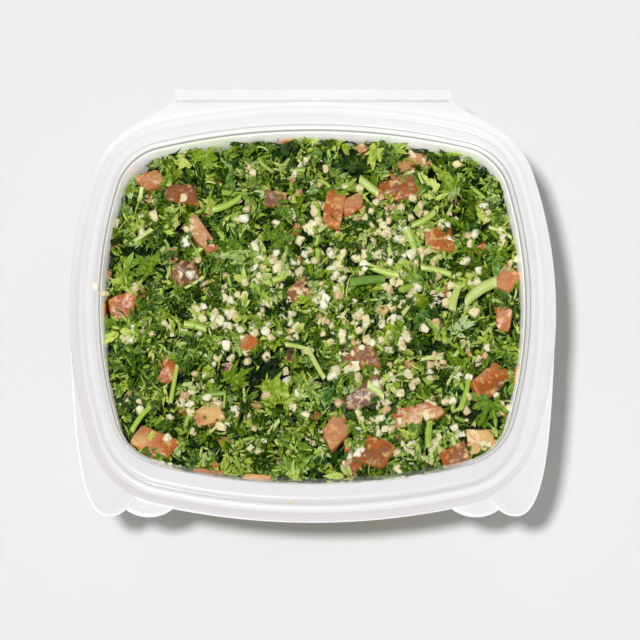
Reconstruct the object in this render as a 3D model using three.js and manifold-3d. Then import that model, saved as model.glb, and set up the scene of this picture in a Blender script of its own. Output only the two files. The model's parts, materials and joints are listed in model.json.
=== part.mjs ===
// Tabbouleh salad in its clear hinged tray: a tapered tray, a snap-on lid that turns on a rear fold,
// and the chopped salad inside. Millimetres, +Z up, hinge at +Y, opening tabs at -Y.
// The origin is on the ground under the middle of the whole.
import * as THREE from 'three';
import { mergeVertices } from 'three/addons/utils/BufferGeometryUtils.js';
import Module from 'manifold-3d';

// ---------- driving dimensions ----------

const EDGE_Z = 45; // height of the plane where the two rims meet at their outer edge
const SHEET = 0.6; // thickness of the formed plastic
const GAP = 0.3; // clearance between two pieces that touch
const RIM_CENTRE_Y = -1.55; // the rim's middle, moved forward by half the hinge strip

// Plan outlines: two pairs of bowed sides joined by corner arcs.
const RIM = {
  halfWidth: 68.5, halfDepth: 61.35, sideBow: 131, endBow: 195, corner: 25, centreY: RIM_CENTRE_Y,
};
const MOUTH = {
  halfWidth: 61.6, halfDepth: 52.45, sideBow: 124, endBow: 185, corner: 17.5, centreY: -0.35,
};
const LAND = RIM.halfWidth - MOUTH.halfWidth; // rim width at the sides

// Rim section that both shells share, from the outer lip to the seat: [outline, inset, height over EDGE_Z].
const LIP = 0.8;
const RIDGE_HEIGHT = 3.1;
const GROOVE_DEPTH = 0.8;
const SEAT_HEIGHT = 1.5;
const SEAT_INSET = 1.2;
const SKIRT_TOP = { inset: 2.6, height: 2.85 }; // where the skirt that rises from the lip ends
const OUTER_RIDGE = 3.4; // how far in the two ridges and the groove between them lie
const GROOVE = [4.3, 5.3];
const INNER_RIDGE = 6.1;
const MOUTH_DROP = 0.1; // how much lower than the ridges the mouth's edge is
const RIM_SECTION = [
  [RIM, 0, 0],
  [RIM, LIP, 0],
  [RIM, SKIRT_TOP.inset, SKIRT_TOP.height],
  [RIM, OUTER_RIDGE, RIDGE_HEIGHT],
  [RIM, GROOVE[0], RIDGE_HEIGHT - GROOVE_DEPTH],
  [RIM, GROOVE[1], RIDGE_HEIGHT - GROOVE_DEPTH],
  [RIM, INNER_RIDGE, RIDGE_HEIGHT],
  [MOUTH, 0, RIDGE_HEIGHT - MOUTH_DROP],
  [MOUTH, SEAT_INSET, SEAT_HEIGHT],
];

// Tray walls, from the seat under the lid down to the foot.
const SEAT_LEDGE = 1; // how far the seat reaches in under the lid
const WALL_TOP_INSET = SEAT_INSET + SEAT_LEDGE;
const FLOOR_INSET = 7.4; // how far in the wall has come where the bottom bend starts
const BEND = 4.2; // radius of the bottom bend
const FOOT_WIDTH = 4.5;
const KICK_UP = 0.9; // how far the middle of the bottom stands off the ground
const BEND_STEPS = 3;

// Opening tabs at the two front corners: the lid's lies outside, the tray's further in.
const LID_TAB = { sideY: -30, sideX: 66.6, tipX: 57, tipY: -61.3, cuspX: 51.9, cuspY: -59.2 };
const LID_TAB_ROOT = { x: 45, y: -42 }; // a corner of the lid's tab hidden inside the rim
const LID_TAB_PULL = { side: 17, tip: 6, inner: 2.6, cusp: 1.2, rise: 1.1 }; // how far its curves lean out
const TRAY_TAB = { x: 45.7, y: -50.6, radius: 10.7 };
const TAB_LIP_WIDTH = 0.9;
const TAB_LIP_HEIGHT = 0.35;
const RIM_OVERLAP = 0.6 * LIP; // how far tabs and strips run in under the rim's lip
const WELD = 0.01; // overlap that lets two solids join
const CUTTER = 5; // how far a cutting block stands out past what it cuts

// Rear hinge strip and fold.
const FOLD_RADIUS = 0.75;
const FOLD_HALF = 39.2;
const FOLD_Y = 62.9 - FOLD_RADIUS;
const STRIP_SHOULDER = 1.4; // how far the strip's ends run straight in before they slant
const STRIP_FLARE = 8.5; // how far the slanted ends spread on the way to the rim

// Salad: a core with a lumpy top, and the pieces that show fused on.
const SALAD_LEVEL = 39.8; // mean height of the bare core
const SALAD_TOP = 42.2; // nothing in the heap stands higher
const RELIEF = 1.1; // how far the core's lumps rise and fall
const LONG_LUMPS = { share: 0.55, x: 0.31, y: 0.27, shiftX: 1.3, shiftY: -0.4 }; // wave numbers per mm
const SHORT_LUMPS = { x: 0.83, y: -0.52, crossX: 0.37, crossY: 0.91, shift: 2 };
const RELIEF_CELL = 5.6; // spacing of the core's surface points
const CORE_OVERRUN = 2; // how far the core's block runs past the floor before it is cut
const LEAF_THICKNESS = 0.5;
const LEAF_NOTCH = 0.62; // reach of the notches between a leaf's lobes
const LEAF_SPAN = 300; // degrees that the lobes take up round a leaf's middle
const LEAF_STALK = 0.42; // how far back a leaf's stalk end lies, of its length
const LEAF_WAVE = { low: 0.1, high: 0.2, alongWaves: 5, acrossWaves: 4 }; // height is a share of the width
const LARGE_LEAF_LOBES = 4;
const SMALL_LEAF = { lobes: 3, length: [9, 14], slimness: [0.55, 0.85] };
const GRAIN = 2.6; // width of a grain of cracked wheat
const GRAIN_SIZES = [0.85, 1.15]; // smallest and largest grain, of GRAIN
const GRAIN_SLIMNESS = [0.75, 1];
const STEM_RADIUS = 1.1;
const STEM_TAPER = 0.85;
const STEM_SIZES = [0.7, 1.05]; // thinnest and thickest stem, of STEM_RADIUS
const SHORT_STEM_LENGTH = [5, 8];
const TOMATO_CORNERS = 5;
const TOMATO_REACH = { length: 0.56, width: 0.58 }; // of a piece's size, from its middle to its corners
const TOMATO_TAPER = 0.86; // size of a piece's upper face against its lower one
const TOMATO_HEIGHT = [2.6, 3.6];
const TOMATO_SKEW = 12; // degrees that a corner may be off its even place

// How each kind of piece lies: the most it leans, in radians, and the height of its middle over the core.
const LIE = {
  tomato: { tilt: 0.2, lift: [0.4, 0.4] },
  largeLeaf: { tilt: 0.1, lift: [0.9, 0.9] },
  smallLeaf: { tilt: 0.27, lift: [0.7, 1.2] },
  longStem: { tilt: 0.1, lift: [1.3, 1.3] },
  shortStem: { tilt: 0.2, lift: [1, 1] },
  grain: { tilt: 0.3, lift: [0.7, 1.5] },
};

// Where the heap has sunk away from the wall: [x, y, radius, depth].
const HOLLOWS = [[-56, 46, 17, 13], [56, 45, 12, 6]];

// The larger tomato pieces: [x, y, length, width, turn in degrees].
const TOMATO_PIECES = [
  [-46, 38, 7, 5.5, 20], [-37, 34, 9, 5.5, -15], [-31.5, 22, 12.5, 4.8, -55], [-36, 10.8, 7.8, 6.8, 10],
  [-10.5, 32.5, 6.5, 5, 0], [6, 29.5, 12, 6.5, 80], [11.5, 31, 7, 5, 35], [24, 35.5, 13.5, 6.2, 4],
  [28, 43.5, 11, 5, 20], [36, 21, 9.2, 7.8, -5], [54, 9, 8, 6.5, 60], [-51, 1.5, 7.2, 7, 15],
  [-3.5, 5.5, 8, 5.5, 30], [-18.5, -9.8, 6, 4, 40], [-40.5, -18.5, 7, 4.6, 60], [13.5, -13.5, 10.5, 6.2, 0],
  [14.5, -25, 13, 6.5, 35], [29, -30.5, 15, 5.4, 18], [6.5, -35.5, 9.6, 7.8, 50], [17, -41, 10.5, 8.2, -30],
  [40, -43, 8.2, 5.8, 25], [47, -38.5, 8.8, 8.4, 0], [50, -20.5, 12, 7, 35], [-29, -30.5, 8.6, 6.2, 20],
  [-44.5, -38.5, 12, 6.8, -25], [-3.5, -45, 6.2, 5.6, 10], [54, -3, 6.5, 4.5, 80],
];

// The leaves that stand out: [x, y, length, width, turn in degrees].
const LARGE_LEAVES = [
  [12.5, 45, 14, 10, 95], [-29.5, 46.5, 13, 11, 60], [-10.5, -22, 18, 15, 100], [31.5, -10.5, 9.5, 7, 10],
  [48, -31, 15, 12, -120], [-7.5, 21, 16, 12, 20], [-48, 14, 13, 10, 150], [-22, -18, 15, 12, 75],
];
const SMALL_LEAVES = { count: 36, margin: 6, start: 0.4 }; // spread evenly, this far in, from this angle on

// Cut stems that stand out: [x, y, length, turn in degrees].
const LONG_STEMS = [
  [16, 36, 7, -40], [18.5, 11.5, 12, -22], [15.5, 8.5, 10, 8], [35.5, 11.3, 10, -15], [47, 5.5, 11, 35],
  [40, 3, 7.5, 75], [-33, -5, 6.5, -15], [18, -23.8, 6, -40], [43, -25, 10, 75], [-48.5, -32, 9, 55],
  [28, 20, 7.5, -70], [-24, 30.5, 9, 25], [31.5, 26, 8, 30], [-39, -22, 11, 80],
];
const SHORT_STEMS = { count: 4, margin: 9, start: 2.1 };
const GRAIN_SPREAD = { loose: 24, margin: 7, start: 1.2, jitter: 3 };
const GRAIN_CLUSTERS = [[17, 2, 4], [-18, -2, 4], [39, 0, 3], [29, -29, 3], [33, 28, 3]]; // [x, y, count]
const CLUSTER_REACH = { x: 6, y: 4 };
const CORNER_FILL = 0.62; // how far places spread over the top reach into the corners

const STEPS = { side: 2, corner: 6, end: 2 }; // points per quarter of an outline

// ---------- small tools ----------

const wasm = await Module();
wasm.setup();

// A seeded random source, so that every build gives the same heap.
function randomSource(seed) {
  let state = seed;
  return (low = 0, high = 1) => {
    state = (state + 0x6d2b79f5) | 0;
    let mixed = Math.imul(state ^ (state >>> 15), 1 | state);
    mixed = (mixed + Math.imul(mixed ^ (mixed >>> 7), 61 | mixed)) ^ mixed;
    return low + (high - low) * (((mixed ^ (mixed >>> 14)) >>> 0) / 4294967296);
  };
}

function toSolid(geometry) {
  const bare = geometry.index ? geometry.clone() : geometry;
  bare.deleteAttribute('normal');
  bare.deleteAttribute('uv');
  const merged = mergeVertices(bare, 1e-4);
  return new wasm.Manifold(new wasm.Mesh({
    numProp: 3,
    vertProperties: new Float32Array(merged.attributes.position.array),
    triVerts: new Uint32Array(merged.index.array),
  }));
}

function toGeometry(solid) {
  const { vertProperties, triVerts, numProp } = solid.getMesh();
  const geometry = new THREE.BufferGeometry();
  const position = new Float32Array((vertProperties.length / numProp) * 3);
  for (let i = 0; i < position.length / 3; i += 1) {
    position.set(vertProperties.subarray(i * numProp, i * numProp + 3), i * 3);
  }
  geometry.setAttribute('position', new THREE.BufferAttribute(position, 3));
  geometry.setIndex([...triVerts]);
  return geometry;
}

// Joins rings of equal length into one skin and closes both ends with a fan.
function loft(rings) {
  const count = rings[0].length;
  const points = rings.flat();
  const faces = [];
  for (let r = 0; r + 1 < rings.length; r += 1) {
    for (let k = 0; k < count; k += 1) {
      const next = (k + 1) % count;
      const [a, b] = [r * count + k, r * count + next];
      const [c, d] = [a + count, b + count];
      faces.push(a, b, d, a, d, c);
    }
  }
  for (const [r, flip] of [[0, true], [rings.length - 1, false]]) {
    const middle = new THREE.Vector3();
    rings[r].forEach((p) => middle.addScaledVector(p, 1 / count));
    points.push(middle);
    for (let k = 0; k < count; k += 1) {
      const edge = [r * count + k, r * count + ((k + 1) % count)];
      faces.push(...(flip ? edge.reverse() : edge), points.length - 1);
    }
  }
  const geometry = new THREE.BufferGeometry().setFromPoints(points);
  geometry.setIndex(faces);
  return geometry;
}

// ---------- plan outlines ----------

// The corner arc touches both bowed sides, so its centre lies where two circles round theirs cross.
function cornerCentre({ halfWidth, halfDepth, sideBow, endBow, corner }) {
  const [sideX, endY] = [halfWidth - sideBow, halfDepth - endBow];
  const [sideReach, endReach] = [sideBow - corner, endBow - corner];
  const apart = Math.hypot(sideX, endY);
  const along = (sideReach ** 2 - endReach ** 2 + apart ** 2) / (2 * apart);
  const across = Math.sqrt(sideReach ** 2 - along ** 2);
  const [ux, uy] = [-sideX / apart, endY / apart];
  return { x: sideX + along * ux - across * uy, y: along * uy + across * ux };
}

// The point of an outline whose outward normal has this angle, moved in by inset.
function outlinePoint(outline, angle, inset, z) {
  const { halfWidth, halfDepth, sideBow, endBow, corner, centreY } = outline;
  const centre = cornerCentre(outline);
  const [nx, ny] = [Math.abs(Math.cos(angle)), Math.abs(Math.sin(angle))];
  const lean = Math.atan2(ny, nx);
  let [x, y, radius] = [centre.x, centre.y, corner];
  if (lean < Math.atan2(centre.y, centre.x - halfWidth + sideBow)) {
    [x, y, radius] = [halfWidth - sideBow, 0, sideBow];
  } else if (lean > Math.atan2(centre.y - halfDepth + endBow, centre.x)) {
    [x, y, radius] = [0, halfDepth - endBow, endBow];
  }
  return new THREE.Vector3(
    Math.sign(Math.cos(angle)) * (x + (radius - inset) * nx),
    Math.sign(Math.sin(angle)) * (y + (radius - inset) * ny) + centreY,
    z,
  );
}

// Normal angles of one turn, close together at the corners.
function turnAngles(steps) {
  const centre = cornerCentre(RIM);
  const first = Math.atan2(centre.y, centre.x - RIM.halfWidth + RIM.sideBow);
  const last = Math.atan2(centre.y - RIM.halfDepth + RIM.endBow, centre.x);
  const quarter = [];
  const spans = [[0, first, steps.side], [first, last, steps.corner], [last, Math.PI / 2, steps.end]];
  for (const [from, to, parts] of spans) {
    for (let k = 0; k < parts; k += 1) quarter.push(from + ((to - from) * k) / parts);
  }
  const mirrored = [...quarter.slice(1)].reverse().map((angle) => Math.PI - angle);
  const half = [...quarter, Math.PI / 2, ...mirrored];
  return [...half, ...half.map((angle) => angle + Math.PI)];
}

const TURN = turnAngles(STEPS);
const ring = (outline, inset, z) => TURN.map((angle) => outlinePoint(outline, angle, inset, z));

function outlineShape(outline, inset) {
  return new THREE.Shape(ring(outline, inset, 0).map(({ x, y }) => new THREE.Vector2(x, y)));
}

function slab(shape, bottom, thickness, curveSegments = 6) {
  const geometry = new THREE.ExtrudeGeometry(shape, { depth: thickness, bevelEnabled: false, curveSegments });
  return toSolid(geometry.translate(0, 0, bottom));
}

// ---------- formed shells ----------

// Moves a section sideways by distance: + is up and out of the tray. Corners are mitred.
function offsetSection(section, distance) {
  const flat = section.map(([outline, inset, z]) => [inset + (outline === MOUTH ? LAND : 0), z]);
  const normals = flat.slice(1).map(([d, z], k) => {
    const [run, rise] = [d - flat[k][0], z - flat[k][1]];
    const length = Math.hypot(run, rise);
    return [-rise / length, run / length];
  });
  return section.map(([outline], k) => {
    const before = normals[Math.max(k - 1, 0)];
    const after = normals[Math.min(k, normals.length - 1)];
    const share = 1 + before[0] * after[0] + before[1] * after[1];
    const step = [0, 1].map((i) => (distance * (before[i] + after[i])) / share);
    const inset = flat[k][0] + step[0] - (outline === MOUTH ? LAND : 0);
    return [outline, inset, flat[k][1] + step[1]];
  });
}

const sectionRings = (section) => section.map(([outline, inset, z]) => ring(outline, inset, z + EDGE_Z));

// A shell from the middle of its underside out round the lip and back over its upper side.
function shell(section, lower, upper) {
  const under = sectionRings(offsetSection(section, lower));
  const over = sectionRings(offsetSection(section, upper));
  return toSolid(loft([...under.reverse(), ...over]));
}

function traySection() {
  const section = [...RIM_SECTION, [MOUTH, WALL_TOP_INSET, SEAT_HEIGHT]];
  const floorZ = SHEET + GAP / 2;
  section.push([MOUTH, FLOOR_INSET, BEND + floorZ - EDGE_Z]);
  for (let k = 1; k <= BEND_STEPS; k += 1) {
    const turn = (k / BEND_STEPS) * (Math.PI / 2);
    const inset = FLOOR_INSET + BEND * (1 - Math.cos(turn));
    section.push([MOUTH, inset, floorZ + BEND * (1 - Math.sin(turn)) - EDGE_Z]);
  }
  const footInset = FLOOR_INSET + BEND + FOOT_WIDTH;
  section.push([MOUTH, footInset, floorZ - EDGE_Z]);
  section.push([MOUTH, footInset + KICK_UP, floorZ + KICK_UP - EDGE_Z]);
  return section;
}

// ---------- tabs and hinge ----------

function lidTabShape(side, inset = 0) {
  const { sideX, sideY, tipX, tipY, cuspX, cuspY } = LID_TAB;
  const pull = LID_TAB_PULL;
  const shape = new THREE.Shape();
  shape.moveTo(side * LID_TAB_ROOT.x, LID_TAB_ROOT.y);
  shape.lineTo(side * (sideX - inset), sideY);
  shape.bezierCurveTo(
    side * (sideX - inset), sideY - pull.side,
    side * (tipX + pull.tip - inset), tipY + inset,
    side * tipX, tipY + inset,
  );
  shape.bezierCurveTo(
    side * (tipX - pull.inner), tipY + inset,
    side * (cuspX + pull.cusp), cuspY - pull.rise + inset,
    side * (cuspX + inset / 2), cuspY + inset,
  );
  shape.closePath();
  return shape;
}

function trayTabShape(side, inset = 0) {
  const shape = new THREE.Shape();
  shape.absarc(side * TRAY_TAB.x, TRAY_TAB.y, TRAY_TAB.radius - inset, 0, Math.PI * 2);
  return shape;
}

// A flat tab outside the rim, with a raised lip along its free edge.
function tab(shapeAt, bottom, up) {
  const rimCut = slab(outlineShape(RIM, RIM_OVERLAP), bottom - CUTTER, 2 * CUTTER);
  const lipBottom = up > 0 ? bottom + SHEET - WELD : bottom - TAB_LIP_HEIGHT;
  const plate = slab(shapeAt(0), bottom, SHEET);
  const lip = slab(shapeAt(0), lipBottom, TAB_LIP_HEIGHT + WELD)
    .subtract(slab(shapeAt(TAB_LIP_WIDTH), bottom - CUTTER, 2 * CUTTER));
  return plate.add(lip).subtract(rimCut);
}

function hingeStrip(halfLength, endY, bottom) {
  const shoulderY = FOLD_Y - STRIP_SHOULDER;
  const shape = new THREE.Shape([
    new THREE.Vector2(-halfLength - STRIP_FLARE, shoulderY - STRIP_FLARE),
    new THREE.Vector2(halfLength + STRIP_FLARE, shoulderY - STRIP_FLARE),
    new THREE.Vector2(halfLength, shoulderY),
    new THREE.Vector2(halfLength, endY),
    new THREE.Vector2(-halfLength, endY),
    new THREE.Vector2(-halfLength, shoulderY),
  ]);
  const rimCut = slab(outlineShape(RIM, RIM_OVERLAP), bottom - CUTTER, 2 * CUTTER);
  return slab(shape, bottom, SHEET).subtract(rimCut);
}

function lidSolid() {
  const bottom = EDGE_Z + GAP / 2;
  let solid = shell(RIM_SECTION, GAP / 2, GAP / 2 + SHEET);
  for (const side of [1, -1]) solid = solid.add(tab((inset) => lidTabShape(side, inset), bottom, 1));
  const fold = new THREE.CylinderGeometry(FOLD_RADIUS, FOLD_RADIUS, FOLD_HALF * 2, 12)
    .rotateZ(Math.PI / 2)
    .translate(0, FOLD_Y, EDGE_Z);
  return solid.add(hingeStrip(FOLD_HALF, FOLD_Y, bottom)).add(toSolid(fold));
}

function traySolid() {
  const bottom = EDGE_Z - GAP / 2 - SHEET;
  let solid = shell(traySection(), -GAP / 2 - SHEET, -GAP / 2);
  for (const side of [1, -1]) solid = solid.add(tab((inset) => trayTabShape(side, inset), bottom, -1));
  return solid.add(hingeStrip(FOLD_HALF, FOLD_Y - FOLD_RADIUS - GAP, bottom));
}

// ---------- salad ----------

const FULL_TURN = Math.PI * 2;
const random = randomSource(2024);
const degrees = (angle) => (angle * Math.PI) / 180;

// Height of the core's top at a place: long and short lumps, less the hollows.
function surface(x, y) {
  const [far, near] = [LONG_LUMPS, SHORT_LUMPS];
  const long = Math.sin(x * far.x + far.shiftX) * Math.cos(y * far.y + far.shiftY);
  const short = Math.sin(x * near.x + y * near.y) * Math.cos(x * near.crossX + y * near.crossY + near.shift);
  let level = SALAD_LEVEL + RELIEF * (far.share * long + (1 - far.share) * short);
  for (const [hollowX, hollowY, radius, depth] of HOLLOWS) {
    const sunk = Math.max(1 - Math.hypot(x - hollowX, y - hollowY) / radius, 0);
    level -= depth * sunk * (2 - sunk);
  }
  return level;
}

// The room that the salad may fill, a gap clear of the tray all round.
function saladRoom(top) {
  const section = traySection();
  const seat = RIM_SECTION.length;
  const rings = sectionRings(offsetSection(section.slice(seat), GAP / 2));
  const [upper, lower] = rings;
  const share = (upper[0].z - top) / (upper[0].z - lower[0].z);
  const rim = upper.map((point, k) => point.clone().lerp(lower[k], share));
  return toSolid(loft([rim, ...rings.slice(1)].reverse()));
}

function saladCore() {
  const [spanX, spanY] = [MOUTH.halfWidth * 2, MOUTH.halfDepth * 2];
  const cells = [spanX, spanY].map((span) => Math.round(span / RELIEF_CELL));
  const block = new THREE.BoxGeometry(spanX, spanY, SALAD_LEVEL + CORE_OVERRUN, ...cells, 1);
  block.translate(0, MOUTH.centreY, (SALAD_LEVEL - CORE_OVERRUN) / 2);
  const position = block.attributes.position;
  for (let i = 0; i < position.count; i += 1) {
    if (position.getZ(i) > 0) position.setZ(i, surface(position.getX(i), position.getY(i)));
  }
  return toSolid(block).intersect(saladRoom(SALAD_TOP));
}

// Lays a piece of a kind on the core, turned about Z and leaning a little.
function lay(kind, geometry, x, y, turn = random(0, FULL_TURN)) {
  const { tilt, lift } = LIE[kind];
  geometry.rotateX(random(-tilt, tilt)).rotateY(random(-tilt, tilt)).rotateZ(turn);
  return toSolid(geometry.translate(x, y, surface(x, y) + random(...lift)));
}

// A thin wavy leaf with lobes like fingers. Both faces are split alike, as fans from the middle.
function leaf(length, width, lobes) {
  const outline = [];
  const tips = lobes * 2;
  for (let k = 0; k <= tips; k += 1) {
    const angle = degrees(LEAF_SPAN * (k / tips - 0.5));
    const reach = k % 2 ? 0.5 : 0.5 * LEAF_NOTCH;
    outline.push([Math.cos(angle) * reach * length, Math.sin(angle) * reach * width]);
  }
  outline.push([-length * LEAF_STALK, 0]);
  const { low, high, alongWaves, acrossWaves } = LEAF_WAVE;
  const wave = random(low, high) * width;
  const phase = random(0, FULL_TURN);
  const rise = (x, y) => {
    return wave * Math.sin((x / length) * alongWaves + phase) * Math.cos((y / width) * acrossWaves);
  };
  const points = [];
  for (const face of [1, -1]) {
    const level = (face * LEAF_THICKNESS) / 2;
    points.push(new THREE.Vector3(0, 0, rise(0, 0) + level));
    for (const [x, y] of outline) points.push(new THREE.Vector3(x, y, rise(x, y) + level));
  }
  const half = outline.length + 1;
  const faces = [];
  for (let k = 1; k < half; k += 1) {
    const next = (k % outline.length) + 1;
    faces.push(0, k, next, half, half + next, half + k);
    faces.push(k, half + k, half + next, k, half + next, next);
  }
  const geometry = new THREE.BufferGeometry().setFromPoints(points);
  geometry.setIndex(faces);
  return geometry;
}

// A diced piece of tomato: a block that narrows a little upwards.
function tomato(length, width) {
  const height = random(...TOMATO_HEIGHT);
  const [reachX, reachY] = [length * TOMATO_REACH.length, width * TOMATO_REACH.width];
  const shape = new THREE.Shape();
  for (let k = 0; k < TOMATO_CORNERS; k += 1) {
    const angle = degrees((360 * (k + 0.5)) / TOMATO_CORNERS + random(-TOMATO_SKEW, TOMATO_SKEW));
    const point = [Math.cos(angle) * reachX, Math.sin(angle) * reachY];
    if (k === 0) shape.moveTo(...point);
    else shape.lineTo(...point);
  }
  shape.closePath();
  const solid = new THREE.ExtrudeGeometry(shape, { depth: height, bevelEnabled: false });
  const position = solid.attributes.position;
  for (let i = 0; i < position.count; i += 1) {
    const share = position.getZ(i) > 0 ? TOMATO_TAPER : 1;
    position.setXYZ(i, position.getX(i) * share, position.getY(i) * share, position.getZ(i));
  }
  return solid.translate(0, 0, -height / 2);
}

function stem(length) {
  const radius = STEM_RADIUS * random(...STEM_SIZES);
  return new THREE.CylinderGeometry(radius, radius * STEM_TAPER, length, 6).rotateZ(Math.PI / 2);
}

function grain() {
  const size = GRAIN * random(...GRAIN_SIZES);
  return new THREE.IcosahedronGeometry(size / 2, 0)
    .scale(1, random(...GRAIN_SLIMNESS), random(...GRAIN_SLIMNESS))
    .rotateX(random(0, FULL_TURN));
}

// Places spread evenly over the top: a sunflower spiral stretched to the tray's outline.
function spread(count, margin, start) {
  const golden = Math.PI * (3 - Math.sqrt(5));
  const [reachX, reachY] = [MOUTH.halfWidth - margin, MOUTH.halfDepth - margin];
  const places = [];
  for (let k = 0; k < count; k += 1) {
    const radius = Math.sqrt((k + 0.5) / count);
    const angle = k * golden + start;
    const squareness = 1 / Math.max(Math.abs(Math.cos(angle)), Math.abs(Math.sin(angle)));
    const out = radius * (1 + CORNER_FILL * (squareness - 1));
    places.push([Math.cos(angle) * out * reachX, Math.sin(angle) * out * reachY + MOUTH.centreY]);
  }
  return places;
}

// Where the wheat grains lie: some loose all over, the others in clusters.
function grainPlaces() {
  const { loose, margin, start, jitter } = GRAIN_SPREAD;
  const places = spread(loose, margin, start).map(([x, y]) => {
    return [x + random(-jitter, jitter), y + random(-jitter, jitter)];
  });
  for (const [x, y, count] of GRAIN_CLUSTERS) {
    for (let k = 0; k < count; k += 1) {
      const [aside, along] = [random(-1, 1) * CLUSTER_REACH.x, random(-1, 1) * CLUSTER_REACH.y];
      places.push([x + aside, y + along]);
    }
  }
  return places;
}

function saladPieces() {
  const pieces = [];
  for (const [x, y, length, width, turn] of TOMATO_PIECES) {
    pieces.push(lay('tomato', tomato(length, width), x, y, degrees(turn)));
  }
  for (const [x, y, length, width, turn] of LARGE_LEAVES) {
    pieces.push(lay('largeLeaf', leaf(length, width, LARGE_LEAF_LOBES), x, y, degrees(turn)));
  }
  for (const [x, y] of spread(SMALL_LEAVES.count, SMALL_LEAVES.margin, SMALL_LEAVES.start)) {
    const length = random(...SMALL_LEAF.length);
    const width = length * random(...SMALL_LEAF.slimness);
    pieces.push(lay('smallLeaf', leaf(length, width, SMALL_LEAF.lobes), x, y));
  }
  for (const [x, y, length, turn] of LONG_STEMS) {
    pieces.push(lay('longStem', stem(length), x, y, degrees(turn)));
  }
  for (const [x, y] of spread(SHORT_STEMS.count, SHORT_STEMS.margin, SHORT_STEMS.start)) {
    pieces.push(lay('shortStem', stem(random(...SHORT_STEM_LENGTH)), x, y));
  }
  for (const [x, y] of grainPlaces()) pieces.push(lay('grain', grain(), x, y));
  return pieces;
}

function saladSolid() {
  let heap = saladCore();
  for (const piece of saladPieces()) heap = heap.add(piece);
  const parts = heap.intersect(saladRoom(SALAD_TOP)).decompose();
  return parts.sort((a, b) => b.volume() - a.volume())[0];
}

// ---------- part ----------

function mesh(name, solid, colour, roughness, extra = {}) {
  const material = new THREE.MeshStandardMaterial({ color: colour, roughness, metalness: 0, ...extra });
  const made = new THREE.Mesh(toGeometry(solid), material);
  made.name = name;
  return made;
}

const CLEAR = { transparent: true, opacity: 0.35 };
const part = new THREE.Group();
part.add(mesh('tray', traySolid(), 0xf2f4f3, 0.12, CLEAR));
part.add(mesh('lid', lidSolid(), 0xf4f5f5, 0.12, CLEAR));
part.add(mesh('salad', saladSolid(), 0x4f8a2a, 0.7));

export default part;
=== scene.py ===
"""Tabbouleh salad in its clear hinged tub: the finished look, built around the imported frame.

The tray and the lid are smooth formed sheets that follow the section of the solids. The salad is a dark core
covered with chopped parsley, stalks, cracked wheat and diced tomato, pressed flat where it meets the tray.
Lengths are in millimetres until a mesh is made. Z is up, the hinge is at +Y and the opening tabs are at -Y.
"""
import json
import math

import bmesh
import bpy
import numpy as np
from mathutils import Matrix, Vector


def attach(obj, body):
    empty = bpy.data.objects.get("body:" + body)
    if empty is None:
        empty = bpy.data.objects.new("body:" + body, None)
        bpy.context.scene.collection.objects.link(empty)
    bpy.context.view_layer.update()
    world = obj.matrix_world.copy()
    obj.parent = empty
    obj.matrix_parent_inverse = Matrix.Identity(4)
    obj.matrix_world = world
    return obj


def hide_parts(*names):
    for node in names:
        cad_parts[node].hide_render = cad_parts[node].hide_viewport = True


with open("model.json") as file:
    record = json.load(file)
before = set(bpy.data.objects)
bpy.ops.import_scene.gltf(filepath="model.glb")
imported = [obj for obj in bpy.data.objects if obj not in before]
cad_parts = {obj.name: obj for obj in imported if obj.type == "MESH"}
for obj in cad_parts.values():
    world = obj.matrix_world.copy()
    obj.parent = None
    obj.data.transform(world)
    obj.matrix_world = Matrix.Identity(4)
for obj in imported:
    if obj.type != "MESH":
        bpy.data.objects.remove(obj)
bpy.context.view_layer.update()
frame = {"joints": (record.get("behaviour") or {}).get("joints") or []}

MM = 0.001
TURN = 2 * math.pi

# ---------- the tub's sizes ----------

HINGE = frame["joints"][0]["pos_m"]
EDGE_Z = HINGE[2] / MM  # height of the plane where the two rims meet
FOLD_Y = HINGE[1] / MM
SHEET = 0.6  # thickness of the formed plastic
GAP = 0.3  # clearance between the two rims
FOLD_RADIUS = 0.75
FOLD_HALF = 39.2
STRIP_SHOULDER = 2.0  # how far the strip's ends run straight in before they slant
STRIP_FLARE = 11.3

# Rim section from the outer lip inwards: distance in from the edge, height over EDGE_Z.
LAND = 6.9  # where the rim's outline gives way to the mouth's
RIM_END = 6.1
RIM_SECTION = [
    (0, 0), (0.8, 0), (2.6, 2.85), (3.4, 3.1), (4.3, 2.3), (5.3, 2.3), (RIM_END, 3.1), (LAND, 3.0),
    (8.1, 1.5),
]
PANEL = (11.0, 1.5)  # a place on the lid's flat panel
SEAT = (9.1, 1.5)  # inner edge of the ledge under the lid
HAZE_END = 32.0  # height down to which the wall is milky
FLOOR_Z = SHEET + GAP / 2
BEND_AT = 14.3  # how far in the wall has come where the bottom bend starts
BEND = 4.2
FOOT = 23.0  # inner edge of the flat foot
KICK_UP = 0.9

TAB_LIP = 0.35  # height of the thin lip along a tab's edge
TAB_LIP_WIDTH = 0.9


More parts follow.
